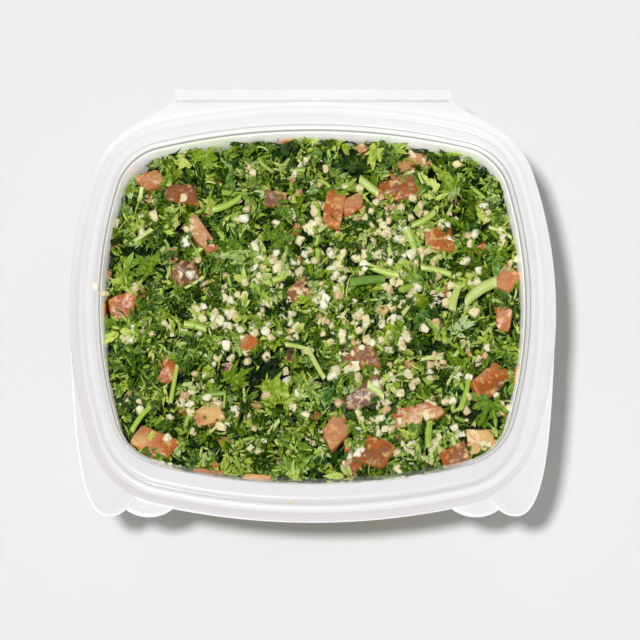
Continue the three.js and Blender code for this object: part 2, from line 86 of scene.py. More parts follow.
class Outline:
    """A plan of two pairs of bowed sides joined by corner arcs."""

    def __init__(self, half_width, half_depth, side_bow, end_bow, corner, centre_y):
        self.side_x, self.end_y = half_width - side_bow, half_depth - end_bow
        self.side_bow, self.end_bow, self.corner, self.centre_y = side_bow, end_bow, corner, centre_y
        side_reach, end_reach = side_bow - corner, end_bow - corner
        apart = math.hypot(self.side_x, self.end_y)
        along = (side_reach**2 - end_reach**2 + apart**2) / (2 * apart)
        across = math.sqrt(side_reach**2 - along**2)
        ux, uy = -self.side_x / apart, self.end_y / apart
        self.corner_x = self.side_x + along * ux - across * uy
        self.corner_y = along * uy + across * ux
        self.first = math.atan2(self.corner_y, self.corner_x - self.side_x)
        self.last = math.atan2(self.corner_y - self.end_y, self.corner_x)

    def points(self, angles, inset):
        """Places whose outward normal has these angles, moved in by inset."""
        nx, ny = np.abs(np.cos(angles)), np.abs(np.sin(angles))
        lean = np.arctan2(ny, nx)
        on_side, on_end = lean < self.first, lean > self.last
        x = np.where(on_side, self.side_x, np.where(on_end, 0, self.corner_x))
        y = np.where(on_side, 0, np.where(on_end, self.end_y, self.corner_y))
        reach = np.where(on_side, self.side_bow, np.where(on_end, self.end_bow, self.corner)) - inset
        return np.stack([
            np.sign(np.cos(angles)) * (x + reach * nx),
            np.sign(np.sin(angles)) * (y + reach * ny) + self.centre_y,
        ], -1)

    def depth(self, x, y):
        """How far inside each place is, and the outward direction there."""
        px, py = np.abs(x), np.abs(y - self.centre_y)
        lean = np.arctan2(py - self.corner_y, px - self.corner_x)
        at_corner = (lean > self.first) & (lean < self.last)
        to_side = np.stack([px - self.side_x, py], -1)
        to_end = np.stack([px, py - self.end_y], -1)
        to_corner = np.stack([px - self.corner_x, py - self.corner_y], -1)
        side, end, corner = (np.linalg.norm(v, axis=-1) for v in (to_side, to_end, to_corner))
        near_side = self.side_bow - side < self.end_bow - end
        straight = np.where(near_side, self.side_bow - side, self.end_bow - end)
        inside = np.where(at_corner, self.corner - corner, straight)
        away = np.where(near_side[..., None], to_side / side[..., None], to_end / end[..., None])
        away = np.where(at_corner[..., None], to_corner / np.maximum(corner, 1e-6)[..., None], away)
        return inside, away * np.stack([np.sign(x), np.sign(y - self.centre_y)], -1)


# Half width, half depth, radii of the sides, the ends and the corners, and middle in Y.
RIM = Outline(68.5, 61.35, 131, 195, 25, -1.55)
MOUTH = Outline(61.6, 52.45, 124, 185, 17.5, -0.35)


def turn_angles(side, corner, end):
    """Normal angles of one turn, with this many steps along each half side, corner and half end."""
    spans = [(0, RIM.first, side), (RIM.first, RIM.last, corner), (RIM.last, math.pi / 2, end)]
    quarter = np.concatenate([np.linspace(a, b, n, endpoint=False) for a, b, n in spans])
    half = np.concatenate([quarter, [math.pi / 2], math.pi - quarter[:0:-1]])
    return np.concatenate([half, half + math.pi])


ANGLES = turn_angles(8, 24, 12)


def plan_ring(distance):
    """Plan of the shell this far in from its outer edge: the rim's outline, then the mouth's."""
    share = np.clip((distance - RIM_END) / (LAND - RIM_END), 0, 1)
    rim = RIM.points(ANGLES, min(distance, RIM_END))
    mouth = MOUTH.points(ANGLES, max(distance - LAND, 0))
    return (1 - share) * rim + share * mouth


# ---------- mesh tools ----------


def new_object(name, data):
    made = bpy.data.objects.new(name, data)
    bpy.context.scene.collection.objects.link(made)
    return made


class Build:
    """Collects points and faces of one piece, with values kept at its points."""

    def __init__(self):
        self.points, self.faces, self.values, self.count = [], [], {}, 0

    def add(self, points, faces, **values):
        """points (..., 3) are one batch; faces is a list of index arrays into it."""
        points = np.asarray(points, float).reshape(-1, 3)
        self.faces += [np.asarray(f, np.int64) + self.count for f in faces]
        self.points.append(points)
        for key, value in values.items():
            self.values.setdefault(key, []).append(np.broadcast_to(value, (len(points),)))
        self.count += len(points)

    def add_copies(self, points, faces, **values):
        """points (n, k, 3) are n pieces that share the triangles faces."""
        n, k = points.shape[:2]
        all_faces = (np.arange(n)[:, None, None] * k + faces).reshape(-1, 3)
        flat = {key: np.broadcast_to(value, (n, k)).reshape(-1) for key, value in values.items()}
        self.add(points, [all_faces], **flat)

    def make(self, name, material, body, slot, replaces, sharp=None):
        mesh = bpy.data.meshes.new(name)
        points = np.concatenate(self.points) * MM
        mesh.vertices.add(len(points))
        mesh.vertices.foreach_set("co", points.astype(np.float32).ravel())
        corners = np.concatenate([f.ravel() for f in self.faces])
        sizes = np.concatenate([np.full(len(f), f.shape[1]) for f in self.faces])
        mesh.loops.add(len(corners))
        mesh.loops.foreach_set("vertex_index", corners.astype(np.int32))
        mesh.polygons.add(len(sizes))
        mesh.polygons.foreach_set("loop_start", (np.cumsum(sizes) - sizes).astype(np.int32))
        mesh.polygons.foreach_set("use_smooth", np.ones(len(sizes), bool))
        mesh.update(calc_edges=True)
        for key, value in self.values.items():
            layer = mesh.attributes.new(key, "FLOAT", "POINT")
            layer.data.foreach_set("value", np.concatenate(value).astype(np.float32))
        if sharp is not None:
            mesh.set_sharp_from_angle(angle=math.radians(sharp))
        mesh.materials.append(material)
        piece = new_object(name, mesh)
        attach(piece, body)
        if replaces:
            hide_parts(replaces)


def unit(vectors):
    return vectors / np.linalg.norm(vectors, axis=-1, keepdims=True)


def at_height(plan, z):
    """A plan (n, 2) as points, at one height or at a height for each."""
    return np.column_stack([plan, np.broadcast_to(z, len(plan))])


def triangles(*corners):
    """Triangles from their corners' indices; a single index is shared by all of them."""
    return np.stack(np.broadcast_arrays(*corners), 1)


def loft_faces(rings, count):
    """Quads between rings of count points each, all turning the same way."""
    k = np.arange(count)
    row = np.stack([k, (k + 1) % count, (k + 1) % count + count, k + count], 1)
    return (np.arange(rings - 1)[:, None, None] * count + row).reshape(-1, 4)


def fan(ring, middle, flip):
    """Triangles from a ring of points to its middle."""
    after = np.roll(ring, -1)
    return triangles(after, ring, middle) if flip else triangles(ring, after, middle)


def capped_loft(rings):
    """Closed skins over rings (..., r, c, 3), with a fan at either end."""
    r, c = rings.shape[-3:-1]
    middles = rings[..., [0, -1], :, :].mean(-2)
    points = np.concatenate([rings.reshape(*rings.shape[:-3], r * c, 3), middles], -2)
    first, last = np.arange(c), np.arange(c) + (r - 1) * c
    return points, [loft_faces(r, c), fan(first, r * c, True), fan(last, r * c + 1, False)]


def tubes(rings):
    """Closed skins over rings (n, r, c, 3), all in triangles."""
    points, (quads, *ends) = capped_loft(rings)
    return points, np.concatenate([quads[:, :3], quads[:, [0, 2, 3]], *ends])


# ---------- materials ----------


def feed(made, inputs):
    """Gives sockets of a node, by name or number, a number, a colour or a link from another socket."""
    for key, value in inputs.items():
        if isinstance(value, bpy.types.NodeSocket):
            made.id_data.links.new(value, made.inputs[key])
        else:
            made.inputs[key].default_value = value


def node(tree, kind, inputs=None, **settings):
    made = tree.nodes.new(kind)
    for key, value in settings.items():
        setattr(made, key, value)
    feed(made, inputs or {})
    return made


def new_material(name):
    material = bpy.data.materials.new(name)
    material.use_nodes = True
    return material, material.node_tree, material.node_tree.nodes["Principled BSDF"]


def srgb(r, g, b):
    """A colour given as it looks on a screen, 0 to 255, as the linear values that shaders take."""
    shares = [v / 255 for v in (r, g, b)]
    return (*(v / 12.92 if v <= 10 / 255 else ((v + 0.055) / 1.055) ** 2.4 for v in shares), 1)


def attribute(tree, name):
    return node(tree, "ShaderNodeAttribute", attribute_name=name).outputs["Fac"]


def noise(tree, scale, detail, rough=0.5):
    """Noise in the piece's own space; scale is in features per metre."""
    place = node(tree, "ShaderNodeTexCoord").outputs["Object"]
    inputs = {"Vector": place, "Scale": scale, "Detail": detail, "Roughness": rough}
    return node(tree, "ShaderNodeTexNoise", inputs).outputs["Fac"]


def ramp(tree, source, *stops):
    """A colour that follows source. A stop is a place and a screen colour, or a place and one plain level."""
    made = node(tree, "ShaderNodeValToRGB", {"Fac": source})
    elements = made.color_ramp.elements
    while len(elements) < len(stops):
        elements.new(0.5)
    for element, (place, *colour) in zip(elements, stops):
        element.position = place
        element.color = srgb(*colour) if len(colour) == 3 else (*colour * 3, 1)
    return made.outputs["Color"]


def maths(tree, operation, *values, clamp=False):
    """A math node over values that are numbers or sockets."""
    inputs = dict(enumerate(values))
    return node(tree, "ShaderNodeMath", inputs, operation=operation, use_clamp=clamp).outputs[0]


def mottled(tree, name, scale, amount, detail=3):
    """A value of the piece with noise of this amount added to it."""
    extra = maths(tree, "MULTIPLY_ADD", noise(tree, scale, detail), amount, -amount / 2)
    return maths(tree, "ADD", attribute(tree, name), extra, clamp=True)


def mix_colour(tree, share, a, b):
    return node(tree, "ShaderNodeMix", {0: share, 6: a, 7: b}, data_type="RGBA").outputs[2]


def plastic_material(name, glow, sheen, reflects_salad):
    """Clear formed sheet. Of its values, milk is how white it is; bend is a painted dark line along a tight
    bend, standing for its dark reflection; and the grey value is how grey it is, a plain grey with painted
    shade and painted light added by place. glow is a painted glow: an emission that stands for the light that
    passes through a milky sheet. sheen is a painted sheen, how white even a clear sheet looks edge on. A
    sheet that reflects its salad shows a painted reflection: a little pink and green from what it holds."""
    material, tree, shader = new_material(name)
    milk, bend = attribute(tree, "milk"), attribute(tree, "bend")
    white = srgb(250, 248, 250)
    if reflects_salad:
        # Painted reflection of the salad: a pink and green mottle in the white.
        stops = (0.36, 248, 232, 224), (0.5, 250, 248, 250), (0.64, 232, 240, 212)
        white = ramp(tree, noise(tree, 50, 2), *stops)
    # The grey value paints shade and light into the white, and bend paints dark reflection lines.
    white = mix_colour(tree, attribute(tree, "dull"), white, srgb(176, 171, 173))
    white = mix_colour(tree, bend, white, srgb(104, 112, 86))
    facing = node(tree, "ShaderNodeLayerWeight", {"Blend": 0.35}).outputs["Facing"]
    whiter = maths(tree, "MULTIPLY_ADD", milk, 1.1, sheen)
    edge_on = maths(tree, "MULTIPLY", maths(tree, "POWER", facing, 3.0), whiter)
    alpha = maths(tree, "MULTIPLY_ADD", bend, 0.35, maths(tree, "ADD", edge_on, milk), clamp=True)
    feed(shader, {"Base Color": white, "Roughness": 0.18, "IOR": 1.5, "Alpha": alpha})
    # Painted glow: a plain emission that stands for the light passing through the sheet.
    feed(shader, {"Emission Color": (1, 1, 1, 1), "Emission Strength": glow})
    return material


LEAF_TONES = [
    (0.0, 10, 21, 0), (0.2, 31, 56, 0), (0.4, 65, 98, 0), (0.6, 105, 138, 6), (0.8, 150, 178, 32),
    (1.0, 203, 219, 100),
]
COOL_TONES = [
    (0.0, 0, 17, 1), (0.2, 9, 46, 5), (0.4, 34, 82, 16), (0.6, 80, 126, 46), (0.8, 134, 169, 96),
    (1.0, 187, 208, 148),
]
WHEAT_TONES = [
    (0.0, 194, 148, 102), (0.2, 224, 192, 142), (0.45, 234, 218, 168), (0.75, 240, 230, 184),
    (1.0, 246, 242, 218),
]
STALK_TONES = [(0.0, 66, 108, 40), (0.35, 126, 164, 52), (0.65, 170, 198, 72), (1.0, 214, 222, 150)]
TOMATO_TONES = [
    (0.0, 220, 178, 114), (0.22, 194, 138, 96), (0.42, 187, 99, 41), (0.6, 152, 87, 36), (0.8, 142, 98, 76),
    (1.0, 98, 64, 50),
]
# The core's very dark greens are painted shade: they stand for the gaps deep in the heap.
CORE_TONES = [(0.25, 8, 16, 4), (0.45, 18, 38, 10), (0.6, 34, 60, 18), (0.78, 60, 88, 34)]


def leaf_colour(tree):
    """The value tone picks the green, and cool shifts it towards blue."""
    tone = mottled(tree, "tone", 1000, 0.85, 4)
    warm, cold = ramp(tree, tone, *LEAF_TONES), ramp(tree, tone, *COOL_TONES)
    return mix_colour(tree, mottled(tree, "cool", 350, 0.6), warm, cold)


def tomato_colour(tree):
    """The value ripe runs from tan flesh over salmon and orange-red to purple-brown, and cut is where a side
    shows lighter flesh."""
    flesh = ramp(tree, mottled(tree, "ripe", 300, 0.8, 4), *TOMATO_TONES)
    seeds = ramp(tree, noise(tree, 600, 4), (0.52, 0), (0.64, 0.75))
    flesh = mix_colour(tree, seeds, flesh, srgb(226, 188, 122))
    side = ramp(tree, noise(tree, 300, 2), (0.3, 206, 112, 44), (0.7, 226, 164, 96))
    return mix_colour(tree, attribute(tree, "cut"), flesh, side)


# The foods: [colour, roughness, specular, relief, how much light passes below the surface, and how far its
# red, green and blue go there in metres]. Relief is [noise scale, noise detail, height in mm, strength].
FOODS = {
    "leaf": (leaf_colour, 0.28, 0.25, (1500, 3, 0.35, 1.0), 0.12, (0.0008, 0.0012, 0.0003)),
    "cracked_wheat": (
        lambda tree: ramp(tree, mottled(tree, "tone", 900, 0.5), *WHEAT_TONES),
        0.42, 0.3, (2200, 3, 0.1, 0.6), 0.25, (0.0012, 0.001, 0.0007),
    ),
    "stalk": (
        lambda tree: ramp(tree, mottled(tree, "tone", 500, 0.3), *STALK_TONES),
        0.38, 0.5, (1500, 2, 0.08, 0.6), 0, None,
    ),
    "tomato": (tomato_colour, 0.3, 0.25, (700, 4, 0.2, 0.6), 0.3, (0.003, 0.0012, 0.0008)),
    "heap_core": (
        lambda tree: ramp(tree, noise(tree, 420, 5, 0.65), *CORE_TONES),
        0.6, 0.1, (500, 4, 0.8, 0.9), 0, None,
    ),
}


def food_material(name):
    colour, rough, specular, (scale, detail, height, strength), below, reach = FOODS[name]
    material, tree, shader = new_material(name)
    relief = {"Strength": strength, "Distance": height * MM, "Height": noise(tree, scale, detail)}
    normal = node(tree, "ShaderNodeBump", relief).outputs["Normal"]
    feed(shader, {"Base Color": colour(tree), "Normal": normal})
    feed(shader, {"Roughness": rough, "Specular IOR Level": specular})
    if below:
        feed(shader, {"Subsurface Weight": below, "Subsurface Radius": reach, "Subsurface Scale": 1.0})
    return material


# ---------- formed plastic ----------

ROUNDING = 0.42  # how far from a corner of the section its curve starts
KEEP_FLAT = 0.08  # spacing of the points beside a rounded corner that keep the flats looking flat
BESIDE = 0.15
MIDDLE_RINGS = (0.85, 0.6, 0.3)  # rings of the flat middle, as shares of its edge
PLATE_START = 0.7  # how far inside the rim's outline the tabs and strips start
PLATE_PROUD = 0.01  # keeps their top off the rim's
RIM_MILK = 0.86
CLEAR = 0.0006  # milkiness of the clear panel
RIM_DULL = 0.23
STRIP_DULL = 0.08
# The raised line on the strip: how far in front of the fold it runs, how far its middle lies below the
# strip's upper face, its radius and its greyness, a painted shade that draws the line.
LINE_AHEAD, LINE_SUNK, LINE_RADIUS, LINE_SHADE = 2.6, 0.1, 0.4, 0.45


def offset_section(section, distance):
    """Moves a section sideways with mitred corners; + is up and out of the tray."""
    flat = np.array(section, float)
    run = np.diff(flat, axis=0)
    normals = unit(np.stack([-run[:, 1], run[:, 0]], 1))
    before = np.concatenate([normals[:1], normals])
    after = np.concatenate([normals, normals[-1:]])
    share = 1 + (before * after).sum(1)
    return flat + distance * (before + after) / share[:, None]


def towards(start, end, distance, most):
    """The place this far from start on the way to end, but not past this share of the way."""
    return start + (end - start) * min(distance / np.linalg.norm(end - start), most)


def rounded(section):
    """Replaces each corner of a section with a short curve. A third value says where on the section a point
    is: whole at the middle of each corner's curve, and BESIDE off it just past the curve's ends."""
    points = [(*section[0], 0)]
    for k, (a, b, c) in enumerate(zip(section, section[1:], section[2:]), 1):
        start, end = towards(b, a, ROUNDING, 0.4), towards(b, c, ROUNDING, 0.4)
        points.append((*towards(start, a, KEEP_FLAT, 0.2), k - BESIDE))
        for t in np.linspace(0, 1, 4):
            place = (1 - t) ** 2 * start + 2 * t * (1 - t) * b + t**2 * end
            points.append((*place, k + (2 * t - 1) * BESIDE * 0.7))
        points.append((*towards(end, c, KEEP_FLAT, 0.2), k + BESIDE))
    return np.array([*points, (*section[-1], len(section) - 1)])


def shell(build, section, lower, upper, values):
    """A sheet from the middle of its underside out round the lip and back over its upper side."""
    under, over = (rounded(offset_section(section, offset)) for offset in (lower, upper))
    stations = np.concatenate([under[::-1], over])
    rings = np.array([at_height(plan_ring(d), z + EDGE_Z) for d, z, _ in stations])
    inner = []
    for ring in (rings[0], rings[-1]):
        centre = ring.mean(0)
        inner.append([centre + (ring - centre) * (share, share, 1) for share in MIDDLE_RINGS])
    points, faces = capped_loft(np.concatenate([inner[0][::-1], rings, inner[1]]))
    along, height = (np.pad(stations[:, k], len(MIDDLE_RINGS), mode="edge")[:, None] for k in (2, 1))
    spread = lambda v: np.concatenate([np.broadcast_to(v, (len(along), len(ANGLES))).ravel(), v[[0, -1], 0]])
    build.add(points, faces, **{key: spread(v) for key, v in values(along, height + EDGE_Z).items()})


def apron(build, edge, bottom, lip, dull=RIM_DULL):
    """A flat plate from the rim out to a free edge (n, 2), whose ends lie on the rim. lip is how far its edge
    stands up, or down where it is negative."""
    _, away = RIM.depth(edge[:, 0], edge[:, 1])
    angles = np.unwrap(np.arctan2(away[:, 1], away[:, 0]))
    rim = RIM.points(angles, PLATE_START)
    across = edge - rim
    length = np.linalg.norm(across, axis=1)
    width = np.minimum(TAB_LIP_WIDTH, 0.55 * length) if lip else 0.3 * length
    foot = edge - across * (width / length)[:, None]
    crest = edge - across * (0.55 * width / length)[:, None]
    top = bottom + SHEET + PLATE_PROUD
    up, down = max(lip, 0), min(lip, 0)
    edge_top = bottom + 0.25 * SHEET if lip else top
    levels = [(rim, top), (foot, top), (crest, top + up), (edge, edge_top), (edge, bottom + 0.55 * down),
              (crest, bottom + down), (foot, bottom), (rim, bottom)]
    section = np.stack([at_height(plan, z) for plan, z in levels], 1)
    if angles[-1] < angles[0]:
        section = section[::-1]
    points, faces = capped_loft(section[:, ::-1])
    # Painted shade, least along the edge, which paints a light line there.
    level_dull = dull * np.array([1, 1, 0.8, 0.6, 0.5, 0.5, 0.5, 1])  # lightest along the edge
    all_dull = np.concatenate([np.tile(level_dull, len(section)), [dull, dull]])
    build.add(points, faces, milk=RIM_MILK, bend=0.0, dull=all_dull)


def bezier(*control, parts=16):
    a, b, c, d = (np.array(p, float) for p in control)
    t = np.linspace(0, 1, parts)[:, None]
    return (1 - t) ** 3 * a + 3 * (1 - t) ** 2 * t * b + 3 * (1 - t) * t**2 * c + t**3 * d


def outside_rim(path):
    """The stretch of a path that lies outside the rim."""
    inside, _ = RIM.depth(path[:, 0], path[:, 1])
    return path[inside < 0.02]


def lid_tab_edge(side):
    edge = np.concatenate([
        bezier((68.1, -10), (66.9, -36), (65.6, -61.3), (57, -61.3), parts=40),
        bezier((57, -61.3), (54.4, -61.3), (53.1, -60.3), (51.9, -59.2), parts=10)[1:],
        np.linspace((51.9, -59.2), (49.2, -55.6), 8)[1:],
    ])
    return outside_rim(edge) * (side, 1)


def tray_tab_edge(side):
    angle = np.linspace(0.2, -math.pi, 90)
    circle = np.stack([45.7 + 10.7 * np.cos(angle), -50.6 + 10.7 * np.sin(angle)], 1)
    return outside_rim(circle) * (side, 1)


def strip_edge(end_y):
    """The rear strip, whose ends curve out to the rim."""
    half = FOLD_HALF
    shoulder = FOLD_Y - STRIP_SHOULDER
    controls = (half + STRIP_FLARE, 52.3), (half + 7.6, 54.9), (half + 2.3, 57.2), (half, shoulder)
    flare = bezier(*controls, parts=60)
    side = np.concatenate([flare, np.linspace((half, shoulder), (half, end_y), 20)[1:]])
    path = [side, np.linspace((half, end_y), (-half, end_y), 80)[1:-1], side[::-1] * (-1, 1)]
    return outside_rim(np.concatenate(path))


def bead(build, y, z, half, radius, dull):
    """A round bead along X with rounded ends."""
    turns = np.linspace(0, TURN, 16, endpoint=False)
    places = [(-half, 0.35), (-half + 0.3, 0.85), (-half + 0.8, 1.0)]
    places += [(x, 1.0) for x in np.linspace(-half + 2, half - 2, 24)]
    places += [(-x, share) for x, share in reversed(places[:3])]
    x, share = (column[:, None] for column in np.array(places).T)
    reach = share * radius
    rings = np.stack([x + 0 * turns, y + reach * np.cos(turns), z + reach * np.sin(turns)], -1)
    points, faces = capped_loft(rings)
    build.add(points, faces, milk=RIM_MILK, bend=0.0, dull=dull)


# How far each direction of ANGLES faces right and front, and where in front the mouth's sheet is left clear.
TO_RIGHT, TO_FRONT = np.cos(ANGLES), -np.sin(ANGLES)
FRONT = np.clip((TO_FRONT - 0.94) / 0.04, 0, 1)


def rim_grey_and_shade(along):
    """How grey the sheet is, over the plain grey of RIM_DULL. Painted shade: most on the skirt, above all in
    front and least on the right, in the front's groove, and between the bends that line the mouth, more so on
    the right. Painted light: on the lip, in front on the slope up to the first ridge, and less grey towards
    the rear. along counts the corners of RIM_SECTION: the skirt ends at 2, the groove lies from 4 to 5, and
    the step down into the mouth from 7 to 8."""
    front = np.clip(TO_FRONT, 0, 1)
    # Painted shade and painted light, by place along the section and by the way each place faces.
    stops = [2.2, 2.8, 3.3, 4, 5, 5.6, 6.8, 7.1, 7.3]
    dull = RIM_DULL + np.interp(along, stops, [0, 0.1, 0, -0.1, -0.1, 0.08, 0.06, 0.15, 0.2])
    skirt = np.interp(along, [0, 0.25, 0.6, 2, 2.5], [-0.5, -0.5, 0.9, 1.2, 0])
    dull = dull + skirt * (0.2 - 0.13 * TO_RIGHT + 0.17 * TO_FRONT)
    dull = dull + np.interp(along, [3.0, 3.6, 5.2, 5.8], [0, 0.24, 0.24, 0]) * front
    dull = dull - np.interp(along, [1.85, 2.0, 2.7, 3.2], [0, 0.3, 0.25, 0]) * front
    dull = dull + np.interp(along, [7.1, 7.3], [0, 0.25]) * TO_RIGHT
    dull = dull * np.interp(along, [7.95, 8.05], [1, 0])
    # Painted light: less grey towards the rear.
    return np.clip(dull * (1 - 0.6 * np.clip(-TO_FRONT, 0, 1)), 0, 1)


def lid_values(along, height):
    milk = np.interp(along, [6.8, 7.0, 7.9, 8.0, 8.0 + BESIDE], [RIM_MILK, 0.9, 0.9, 0.7, CLEAR])
    milk = milk * (1 - FRONT * np.interp(along, [6.85, 7.0], [0, 0.97]))
    # Painted dark lines along the two bends at the mouth, standing for their dark reflections: the outer one
    # stronger to the right, the inner one fainter in front.
    outer = np.interp(along, [6.9, 6.97, 7.03, 7.1, 7.9], [0, 0.8, 0.8, 0.05, 0])
    inner = np.interp(along, [7.88, 7.96, 8.04, 8.12], [0, 1, 1, 0])
    bend = outer * (0.6 + 0.3 * TO_RIGHT) + inner * (0.8 - 0.65 * FRONT)
    return {"milk": milk.clip(CLEAR), "bend": bend, "dull": rim_grey_and_shade(along)}


def tray_values(along, height):
    # Painted light: the wall is milky near its top, and with the sheet's glow it stands for the bright light
    # seen through the clear wall.
    wall = np.interp(height, [HAZE_END, 46], [0.04, 0.85])
    milk = np.where(along < 9, np.interp(along, [7, 8], [RIM_MILK, 0.95]), wall)
    milk = milk * (1 - FRONT * np.interp(along, [6.85, 7.0], [0, 1]))
    # Painted shade: greyer at the mouth's edge.
    rim = np.interp(along, [6.85, 7.15], [0.3, 0])
    return {"milk": milk, "bend": 0 * along, "dull": rim_grey_and_shade(along) + rim}


def lid(material):
    build = Build()
    shell(build, [*RIM_SECTION, PANEL], GAP / 2, GAP / 2 + SHEET, lid_values)
    bottom = EDGE_Z + GAP / 2
    for side in (1, -1):
        apron(build, lid_tab_edge(side), bottom, TAB_LIP)
    apron(build, strip_edge(FOLD_Y), bottom, 0, STRIP_DULL)
    bead(build, FOLD_Y, EDGE_Z, FOLD_HALF, FOLD_RADIUS, STRIP_DULL)
    line_z = bottom + SHEET - LINE_SUNK
    bead(build, FOLD_Y - LINE_AHEAD, line_z, FOLD_HALF - LINE_RADIUS, LINE_RADIUS, LINE_SHADE)
    build.make("lid_sheet", material, "cover", "clear_plastic", "lid", sharp=50)


def tray_section():
    wall_foot = (BEND_AT, BEND + FLOOR_Z - EDGE_Z)
    share = (HAZE_END - EDGE_Z - SEAT[1]) / (wall_foot[1] - SEAT[1])
    section = [*RIM_SECTION, SEAT, (SEAT[0] + share * (BEND_AT - SEAT[0]), HAZE_END - EDGE_Z), wall_foot]
    for turn in np.linspace(0, math.pi / 2, 7)[1:]:
        level = FLOOR_Z + BEND * (1 - math.sin(turn))
        section.append((BEND_AT + BEND * (1 - math.cos(turn)), level - EDGE_Z))
    section.append((FOOT, FLOOR_Z - EDGE_Z))
    section.append((FOOT + KICK_UP, FLOOR_Z + KICK_UP - EDGE_Z))
    return section


def tray(sheet_material, tab_material):
    sheet, tabs = Build(), Build()
    shell(sheet, tray_section(), -GAP / 2 - SHEET, -GAP / 2, tray_values)
    bottom = EDGE_Z - GAP / 2 - SHEET
    for side in (1, -1):
        apron(tabs, tray_tab_edge(side), bottom, -TAB_LIP, 1.4 * RIM_DULL)
    apron(tabs, strip_edge(FOLD_Y - FOLD_RADIUS - GAP), bottom, 0)
    tabs.make("tray_tabs", tab_material, "base", "clear_plastic", "tray", sharp=50)
    sheet.make("tray_sheet", sheet_material, "base", "clear_plastic", "tray", sharp=50)


# ---------- the heap's form ----------

SALAD_LEVEL = 38.35
RELIEF = 1.1
EDGE_DROP = 8.0  # how far the heap sinks at the left wall
LEAST_DROP = 0.2  # the share of it at the right wall
END_RISE = 3.6  # how far the heap rises against the walls in front and behind
EDGE_WIDTH = 6.5
HEAP_HALF = (60, 52)  # half the width and depth of the rectangle over which places are spread
EDGE_CLEAR = 2.2  # how far the middles of the top pieces stay off the mouth's edge, besides their own margin
HEAP_TOP = 42.35  # just under the free space that the part states below its lid
PRESSED_TOP = 41.6  # how high pieces against the wall reach, less the rise at the ends
INTO_WALL = 0.3  # how far the pressed pieces reach into the sheet, so that no air gap shows
CORE_INTO_WALL = 0.08
CORE_SUNK = 2.2  # how far the core lies below the heap's surface
CORE_EDGE_SUNK = 2.5
CORE_EDGE_NEAR = 37.0  # a height near the core's edge, to find how far in the wall has come there
SERIES_X, SERIES_Y = 0.7548776662, 0.5698402910  # steps of a series that fills a rectangle evenly
# Where the heap has sunk: [x, y, radius, depth].
HOLLOWS = [(-57, 45, 12, 6)]

rng = np.random.default_rng(2024)


def end_rise(inside, away):
    """How far the heap rises towards the walls in front and behind."""
    return END_RISE * np.clip(1 - inside / EDGE_WIDTH, 0, 1) * away[..., 1] ** 2


def surface(x, y):
    """Height of the heap before its pieces are laid on. It sinks a little, and unevenly, towards the wall."""
    long = np.sin(x * 0.31 + 1.3) * np.cos(y * 0.27 - 0.4)
    short = np.sin(x * 0.83 - y * 0.52) * np.cos(y * 0.91 + x * 0.37 + 2)
    level = SALAD_LEVEL + RELIEF * (0.55 * long + 0.45 * short)
    for hx, hy, radius, depth in HOLLOWS:
        near = np.clip(1 - np.hypot(x - hx, y - hy) / radius, 0, 1)
        level = level - depth * near * (2 - near)
    inside, away = MOUTH.depth(x, y)
    brink = np.clip((EDGE_WIDTH - inside) / EDGE_WIDTH, 0, 1)
    uneven = 1 + 0.8 * np.sin(x * 0.7 + y * 0.65) * np.cos(y * 0.8 - x * 0.3)
    to_left = np.clip(-away[..., 0], 0, 1) ** 2
    drop = LEAST_DROP * away[..., 0] ** 2 + (1 - LEAST_DROP) * to_left
    return level - EDGE_DROP * brink**2 * uneven * drop + end_rise(inside, away)


def clumps(x, y):
    """Small lumps and gaps, -1 to 1."""
    a = np.sin(x * 0.93 + 2 * np.sin(y * 0.41)) * np.cos(y * 0.88 + 1.7 * np.sin(x * 0.37))
    b = np.sin(x * 1.71 - y * 0.63 + 1.1) * np.cos(y * 1.57 + x * 0.52)
    return 0.6 * a + 0.4 * b


WALL = np.array(tray_section()[len(RIM_SECTION):])


def wall_distance(z, into):
    """How far in from the outer edge the tray's inner face is at a height; into is how far past that face."""
    wall = offset_section(WALL, -GAP / 2 - into)[:-2]  # without the foot and the floor's step up
    return np.interp(z - EDGE_Z, wall[::-1, 1], wall[::-1, 0])


def keep_in_tray(points, into=0.0, top=HEAP_TOP):
    """Presses points that would leave the tray flat against its wall or floor."""
    points = points.copy()
    x, y = points[..., 0], points[..., 1]
    inside, away = MOUTH.depth(x, y)
    middle = np.clip((inside + LAND - FOOT) / KICK_UP, 0, 1)
    floor = FLOOR_Z - GAP / 2 - into + KICK_UP * middle
    points[..., 2] = np.clip(points[..., 2], floor, top + end_rise(inside, away))
    for _ in range(2):
        inside, away = MOUTH.depth(points[..., 0], points[..., 1])
        short = np.maximum(wall_distance(points[..., 2], into) - LAND - inside, 0)
        points[..., :2] -= away * short[..., None]
    return points


def brim(x, y):
    """How far the heap's edge stays off the wall: uneven at the sides, and nothing in front and behind."""
    _, away = MOUTH.depth(x, y)
    wave = 0.9 + 0.8 * np.sin(x * 0.55 + 1) * np.cos(y * 0.5) + 0.6 * np.sin(x * 1.3 - y * 1.1)
    to_left = np.clip(0.4 - away[..., 0], 0.3, 1)
    return np.clip(wave - 0.4 * away[..., 0], 0.3, 3) * to_left * (1 - away[..., 1] ** 2)


def heap_places(count, margin):
    """Places spread evenly over the heap by a low-discrepancy series, margin clear of the wall."""
    k = np.arange(1, count * 2)
    x = ((k * SERIES_X + rng.random()) % 1 * 2 - 1) * HEAP_HALF[0]
    y = ((k * SERIES_Y + rng.random()) % 1 * 2 - 1) * HEAP_HALF[1]
    x, y = x + rng.normal(0, 0.8, len(k)), y + rng.normal(0, 0.8, len(k))
    inside, _ = MOUTH.depth(x, y)
    keep = inside > margin + EDGE_CLEAR + brim(x, y)
    return x[keep][:count], y[keep][:count]


